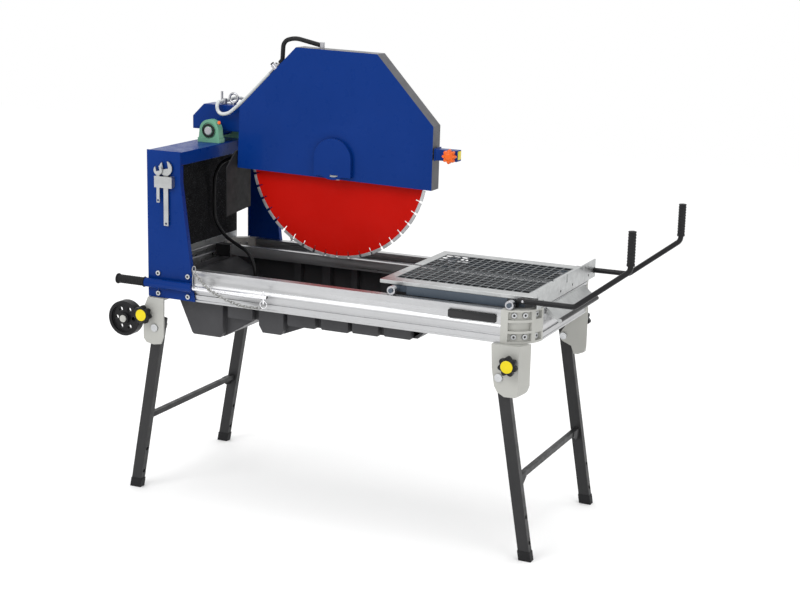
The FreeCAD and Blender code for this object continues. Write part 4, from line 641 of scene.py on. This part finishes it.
def makeTableHandles(s):
    rods, grips, flats = [], [], []
    for sign in (-1, 1):
        y = sign * s["y"]
        path = bentPath([at(x, y, z) for x, z in s["path"]], [r * mm for r in s["bends"]])
        rods.append(tubeAlong("rod", path, s["rodRadius"] * mm, 28))
        low, high = s["grip"]
        share = np.linspace(0, 1, 89)
        z = low + 4 + share * (high - low - 8)
        ripple = s["gripRadius"] + s["ribDepth"] * np.sin(share * s["ribs"] * 2 * math.pi)
        profile = [(low, 9.1), (low, 12.4), (low + 1.5, 13.5), (low + 3, 13.5)] + list(zip(z, ripple))
        profile += [(high - 3, 13.5), (high - 1.2, 13.2), (high, 11.0), (high, 0.01)]
        grips.append(turnedShape("grip", np.array(profile) * mm, at(s["path"][-1][0], y, 0), (0, 0, 1), 40))
        (x0, y0, z0), (x1, y1, z1) = s["flatLow"], s["flatHigh"]
        flats.append(roundedBox("flat", at(x0, sign * y0, z0), at(x1, sign * y1, z1), 1, 3 * mm, 0.5 * mm))
    node = "table_handles"
    black = linkMesh(node + "_rods", together(node + "_rods", rods + flats))
    finish(black, bodyOf(node), blackPlastic, [node])
    finish(linkMesh(node + "_grips", together(node + "_grips", grips)), bodyOf(node), blackRubber)


makeTableHandles(tableHandle)

handleBolts = {
    "places": [(787.0, 869.0, 281.8), (790.0, 857.0, 281.8), (826.0, 876.0, 298.5)],  # x, z, |y|
    "radius": 4.6, "height": 3.0,
}


# Domed heads: radius falls as the square root of what is left of the height
def makeHandleBolts(s):
    t = np.linspace(0, 1, 9)
    profile = np.stack([t * s["height"], s["radius"] * np.sqrt(1 - 0.98 * t ** 2)], -1) * mm
    profile = np.vstack([[-1 * mm, s["radius"] * mm], profile, [s["height"] * mm, 0.00001]])
    heads = [turnedShape("head", profile, at(x, sign * y, z), (0, sign, 0), 32)
             for x, z, y in s["places"] for sign in (-1, 1)]
    finish(linkMesh("handle_bolts", together("handle_bolts", heads)), bodyOf("table_handles"), machinedSteel)


makeHandleBolts(handleBolts)

lipEdge = {"x": 920.0, "z": 801.0, "radius": 7.5, "halfWidth": 191.5}
lipEnds = [at(lipEdge["x"], sign * lipEdge["halfWidth"], lipEdge["z"]) for sign in (-1, 1)]
edgePath = np.linspace(*lipEnds, 24)
edgeMesh = tubeAlong("lip_edging", edgePath, lipEdge["radius"] * mm, 28)
finish(linkMesh("lip_edging", edgeMesh), bodyOf("splash_lip"), blackPlastic)

curtain = {
    "x": -594.0, "halfWidth": 300.0, "low": 849.0, "high": 1256.0, "thickness": 4.0,
    "wave": 3.2, "waves": 3.0, "edgeWave": 5.0,
}


# x = middle + wave * sin(pi * waves * share of the half width) * (share of the drop) ^ 2,
# and the lower edge rises and falls by edgeWave
def makeCurtain(s):
    across = np.linspace(-1, 1, 121)
    down = np.linspace(0, 1, 61)
    yy, dd = np.meshgrid(across, down, indexing="ij")
    fall = np.sin(math.pi * s["waves"] * yy) * dd ** 2
    drop = s["high"] - s["low"] - s["edgeWave"] * (0.5 + 0.5 * np.sin(math.pi * 2.3 * yy + 0.6))
    middle = np.stack([s["x"] + s["wave"] * fall, yy * s["halfWidth"], s["high"] - dd * drop], -1)
    half = np.array([s["thickness"] / 2, 0, 0])
    points = np.stack([middle - half, middle + half])
    rows, columns = yy.shape
    sheet = rows * columns
    faces = gridFaces(rows, columns) + gridFaces(rows, columns, offset=sheet)
    rim = np.concatenate([np.arange(rows) * columns, (rows - 1) * columns + np.arange(1, columns),
                          np.arange(rows - 2, -1, -1) * columns + columns - 1, np.arange(columns - 2, 0, -1)])
    after = np.roll(rim, -1)
    faces += np.stack([rim, after, after + sheet, rim + sheet], -1).tolist()
    points = points.reshape(-1, 3)
    points[:, 0] -= rowShift
    mesh = meshFrom("splash_curtain_sheet", points * mm, faces)
    smoothed(mesh, 40)
    piece = linkMesh("splash_curtain_sheet", mesh)
    finish(piece, bodyOf("splash_curtain"), speckledRubber, ["splash_curtain"])


makeCurtain(curtain)

plate = {"low": (578.0, -328.2, 801.0), "high": (748.0, -327.05, 829.0), "corner": 6.0}
plateMesh = roundedBox("data_plate_rounded", at(*plate["low"]), at(*plate["high"]), 1,
                       plate["corner"] * mm, 0.3 * mm)
platePiece = linkMesh("data_plate_rounded", plateMesh)
finish(platePiece, bodyOf("data_plate"), labelBlack, ["data_plate"])
print("stage: table handles, curtain and plate")


# The riser hose as a smoothed copy in black plastic, in place of its CAD node
def makeRiserHose():
    hose = linkMesh("hose_lower_finished", mergedCopy("hose_lower", 50))
    hose.data.materials.append(blackPlastic)
    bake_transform(hose)
    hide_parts("hose_lower")


makeRiserHose()

guardRim = {"edgeWidth": 1.6, "level": 0.35}


# The guard's copy has two finishes: grey where a face's normal leans less than level towards Y, blue elsewhere
def makeGuardRim(s):
    guard = softened("blade_guard", s["edgeWidth"] * mm, blueEnamel)
    guard.data.materials.append(rimGrey)
    normals = np.empty(len(guard.data.polygons) * 3)
    guard.data.polygons.foreach_get("normal", normals)
    flat = np.abs(normals.reshape(-1, 3)[:, 1]) < s["level"]
    guard.data.polygons.foreach_set("material_index", flat.astype(np.int32))


makeGuardRim(guardRim)

guideBar = {"bracketFront": -523.0}


# The guide bar's copy has two finishes: black behind bracketFront, bright in front of it
def makeGuideBar(s):
    bar = softened("guide_rail", 1.0 * mm, railSilver)
    bar.data.materials.append(blackPlastic)
    count = len(bar.data.polygons)
    centres = np.empty(count * 3)
    bar.data.polygons.foreach_get("center", centres)
    rear = centres.reshape(-1, 3)[:, 0] < (s["bracketFront"] - rowShift - 0.5) * mm
    bar.data.polygons.foreach_set("material_index", rear.astype(np.int32))


makeGuideBar(guideBar)

lockChain = {
    "rings": [((-379.0, 356.0, 859.0), (5.5, 12.0)), ((-380.0, 357.0, 821.0), (3.6, 29.0))],  # centre, half size
    "wire": 1.9, "link": (4.8, 8.4), "pitch": 12.4, "lean": 0.78,
    "path": [(-377, 356, 846), (-345, 357, 817), (-314, 358, 793), (-258, 358, 769.5), (-195, 356, 752.4),
             (-150, 351, 748.9), (-118, 348, 750)],
}


# A link is the closed tube centre + halfLength * sin(a) * along + halfWidth * cos(a) * across
def linkTube(centre, along, across, size, wire):
    a = np.linspace(0, 2 * math.pi, 25)
    loop = centre + np.outer(np.sin(a) * size[1], along) + np.outer(np.cos(a) * size[0], across)
    return tubeAlong("link", loop, wire, 8)


def makeChains(s):
    for side, sign in (("near", -1), ("far", 1)):
        path = curveThrough([at(x, sign * y, z) for x, y, z in s["path"]], 24)
        steps = np.linalg.norm(np.diff(path, axis=0), axis=1)
        length = np.concatenate([[0], np.cumsum(steps)])
        count = int(length[-1] / (s["pitch"] * mm))
        middles = (np.arange(count) + 0.5) * length[-1] / count
        size = tuple(v * mm for v in s["link"])
        links = []
        for k, distance in enumerate(middles):
            centre = np.array([np.interp(distance, length, path[:, c]) for c in range(3)])
            ahead = np.array([np.interp(distance + 2 * mm, length, path[:, c]) for c in range(3)])
            back = np.array([np.interp(distance - 2 * mm, length, path[:, c]) for c in range(3)])
            along = (ahead - back) / np.linalg.norm(ahead - back)
            sideways = np.cross(along, (0, 1, 0))
            sideways /= np.linalg.norm(sideways)
            lean = s["lean"] if k % 2 else -s["lean"]
            across = sideways * math.cos(lean) + np.cross(along, sideways) * math.sin(lean)
            links.append(linkTube(centre, along, across, size, s["wire"] * mm))
        rings = [linkTube(at(x, sign * y, z), np.array([0, 0, 1.0]), np.array([0.8, 0.6, 0]),
                          (width * mm, height * mm), s["wire"] * mm)
                 for (x, y, z), (width, height) in s["rings"]]
        chain = linkMesh(f"lock_chain_{side}", together(f"lock_chain_{side}", links))
        chain.data.materials.append(chainSteel)
        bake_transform(chain)
        finish(linkMesh(f"chain_rings_{side}", together("rings", rings)), bodyOf("post_near"), chainSteel)


makeChains(lockChain)
print("stage: chains")

# Where the painted socket shade goes on the bolt heads
socketShade = {
    "angles": (24.0, 46.0, 75.0), "headRadius": 99.5, "levels": (828.5, 756.5), "size": 4.6, "depth": 0.15,
    "corners": ((764.0, 219.0, 1), (-509.0, 219.0, -1)),  # arc centre x, |y|, forward or back
    "postX": (-541.0, -418.0), "postZ": (752.0, 825.0), "postHeadY": 338.6,
}


# Thin hexagon disc with its axis along the given direction
def hexDisc(name, centre, axis, radius, depth):
    profile = [(-depth, 0.00001), (-depth, radius), (depth, radius), (depth, 0.00001)]
    return turnedShape(name, profile, centre, axis, 6)


# Thin near-black hexagons on the bolt heads: painted shade for the dark inside their hex sockets
def makeSocketShades(s):
    discs = []
    size, depth = s["size"] * mm, s["depth"] * mm
    for x, y, forward in s["corners"]:
        for sign in (-1, 1):
            for degrees in s["angles"]:
                a = math.radians(degrees)
                axis = np.array([forward * math.sin(a), sign * math.cos(a), 0.0])
                for z in s["levels"]:
                    centre = at(x, sign * y, z) + axis * s["headRadius"] * mm
                    discs.append(hexDisc("socketShade", centre, axis, size, depth))
    for x in s["postX"]:
        for z in s["postZ"]:
            for sign in (-1, 1):
                discs.append(hexDisc("socketShade", at(x, sign * s["postHeadY"], z), (0, sign, 0), size, depth))
    finish(linkMesh("bolt_socket_shades", together("bolt_socket_shades", discs)), bodyOf("fasteners"), paintedRecessShade)


makeSocketShades(socketShade)

pivot = {
    "x": -505.0, "z": 1305.0, "near": -50.0, "ringInner": 17.0, "ringOuter": 24.5, "shaftRadius": 15.0,
    "capPlace": (-463.5, -44.0, 1336.0), "capAxis": (0.35, -0.85, 0.35), "capRadius": 6.0,
}


def makePivotDetails(s):
    centre = at(s["x"], 0, s["z"])
    out = -s["near"]
    inner, outer, shaft = s["ringInner"], s["ringOuter"], s["shaftRadius"]
    ringProfile = [(out - 1, inner), (out + 1.6, inner), (out + 2.2, inner + 1.5), (out + 2.2, outer - 1.5),
                   (out + 1.2, outer), (out - 1, outer)]
    ring = turnedShape("ring", np.array(ringProfile) * mm, centre, (0, -1, 0), 64)
    finish(linkMesh("pivot_ring", ring), bodyOf("pillow_blocks"), blackRubber)
    endProfile = [(out - 2, shaft), (out + 0.8, shaft), (out + 1.4, shaft - 0.8), (out + 1.4, 0.01)]
    end = turnedShape("end", np.array(endProfile) * mm, centre, (0, -1, 0), 48)
    finish(linkMesh("pivot_shaft_end", end), bodyOf("pivot_shaft"), blueEnamel)
    r = s["capRadius"]
    capProfile = [(-5, r), (3, r), (4, r - 0.8), (4.6, 0.01)]
    cap = turnedShape("cap", np.array(capProfile) * mm, at(*s["capPlace"]), s["capAxis"], 32)
    finish(linkMesh("grease_cap", cap), bodyOf("pillow_blocks"), orangePlastic)


makePivotDetails(pivot)
print("stage: bolts and pivot")

stageSettings = {"floorHalf": 9.0, "floorColor": (1.0, 1.0, 1.0), "sky": (1.0, 1.0, 1.0), "skyStrength": 1.0}


def makeStage(settings):
    half = settings["floorHalf"]
    mesh = meshFrom("floor", [(-half, -half, -0.0005), (half, -half, -0.0005), (half, half, -0.0005),
                              (-half, half, -0.0005)], [(0, 1, 2, 3)])
    floor = linkMesh("floor", mesh)
    paint = newMaterial("floorPaint", settings["floorColor"], 0.9, specular=0.1)
    floor.data.materials.append(paint)
    world = bpy.data.worlds.new("studio")
    bpy.context.scene.world = world
    world.use_nodes = True
    sky = world.node_tree.nodes["Background"]
    sky.inputs["Color"].default_value = (*settings["sky"], 1.0)
    sky.inputs["Strength"].default_value = settings["skyStrength"]


def addLight(name, place, target, size, power):
    data = bpy.data.lights.new(name, "AREA")
    data.shape = "RECTANGLE"
    data.size, data.size_y = size
    data.energy = power
    light = bpy.data.objects.new(name, data)
    bpy.context.scene.collection.objects.link(light)
    light.location = place
    direction = Vector(target) - Vector(place)
    light.rotation_euler = direction.to_track_quat("-Z", "Y").to_euler()


makeStage(stageSettings)
addLight("keyLight", (-1.5, -4.2, 4.2), (0, 0, 0.8), (3.2, 2.4), 90)
addLight("fillLight", (4.5, -2.5, 2.6), (0, 0, 0.8), (2.6, 2.2), 35)
addLight("topLight", (0.0, 0.6, 4.6), (0, 0, 0.6), (3.5, 2.6), 50)
bpy.context.scene.view_settings.view_transform = "Standard"
print("stage: floor and light")
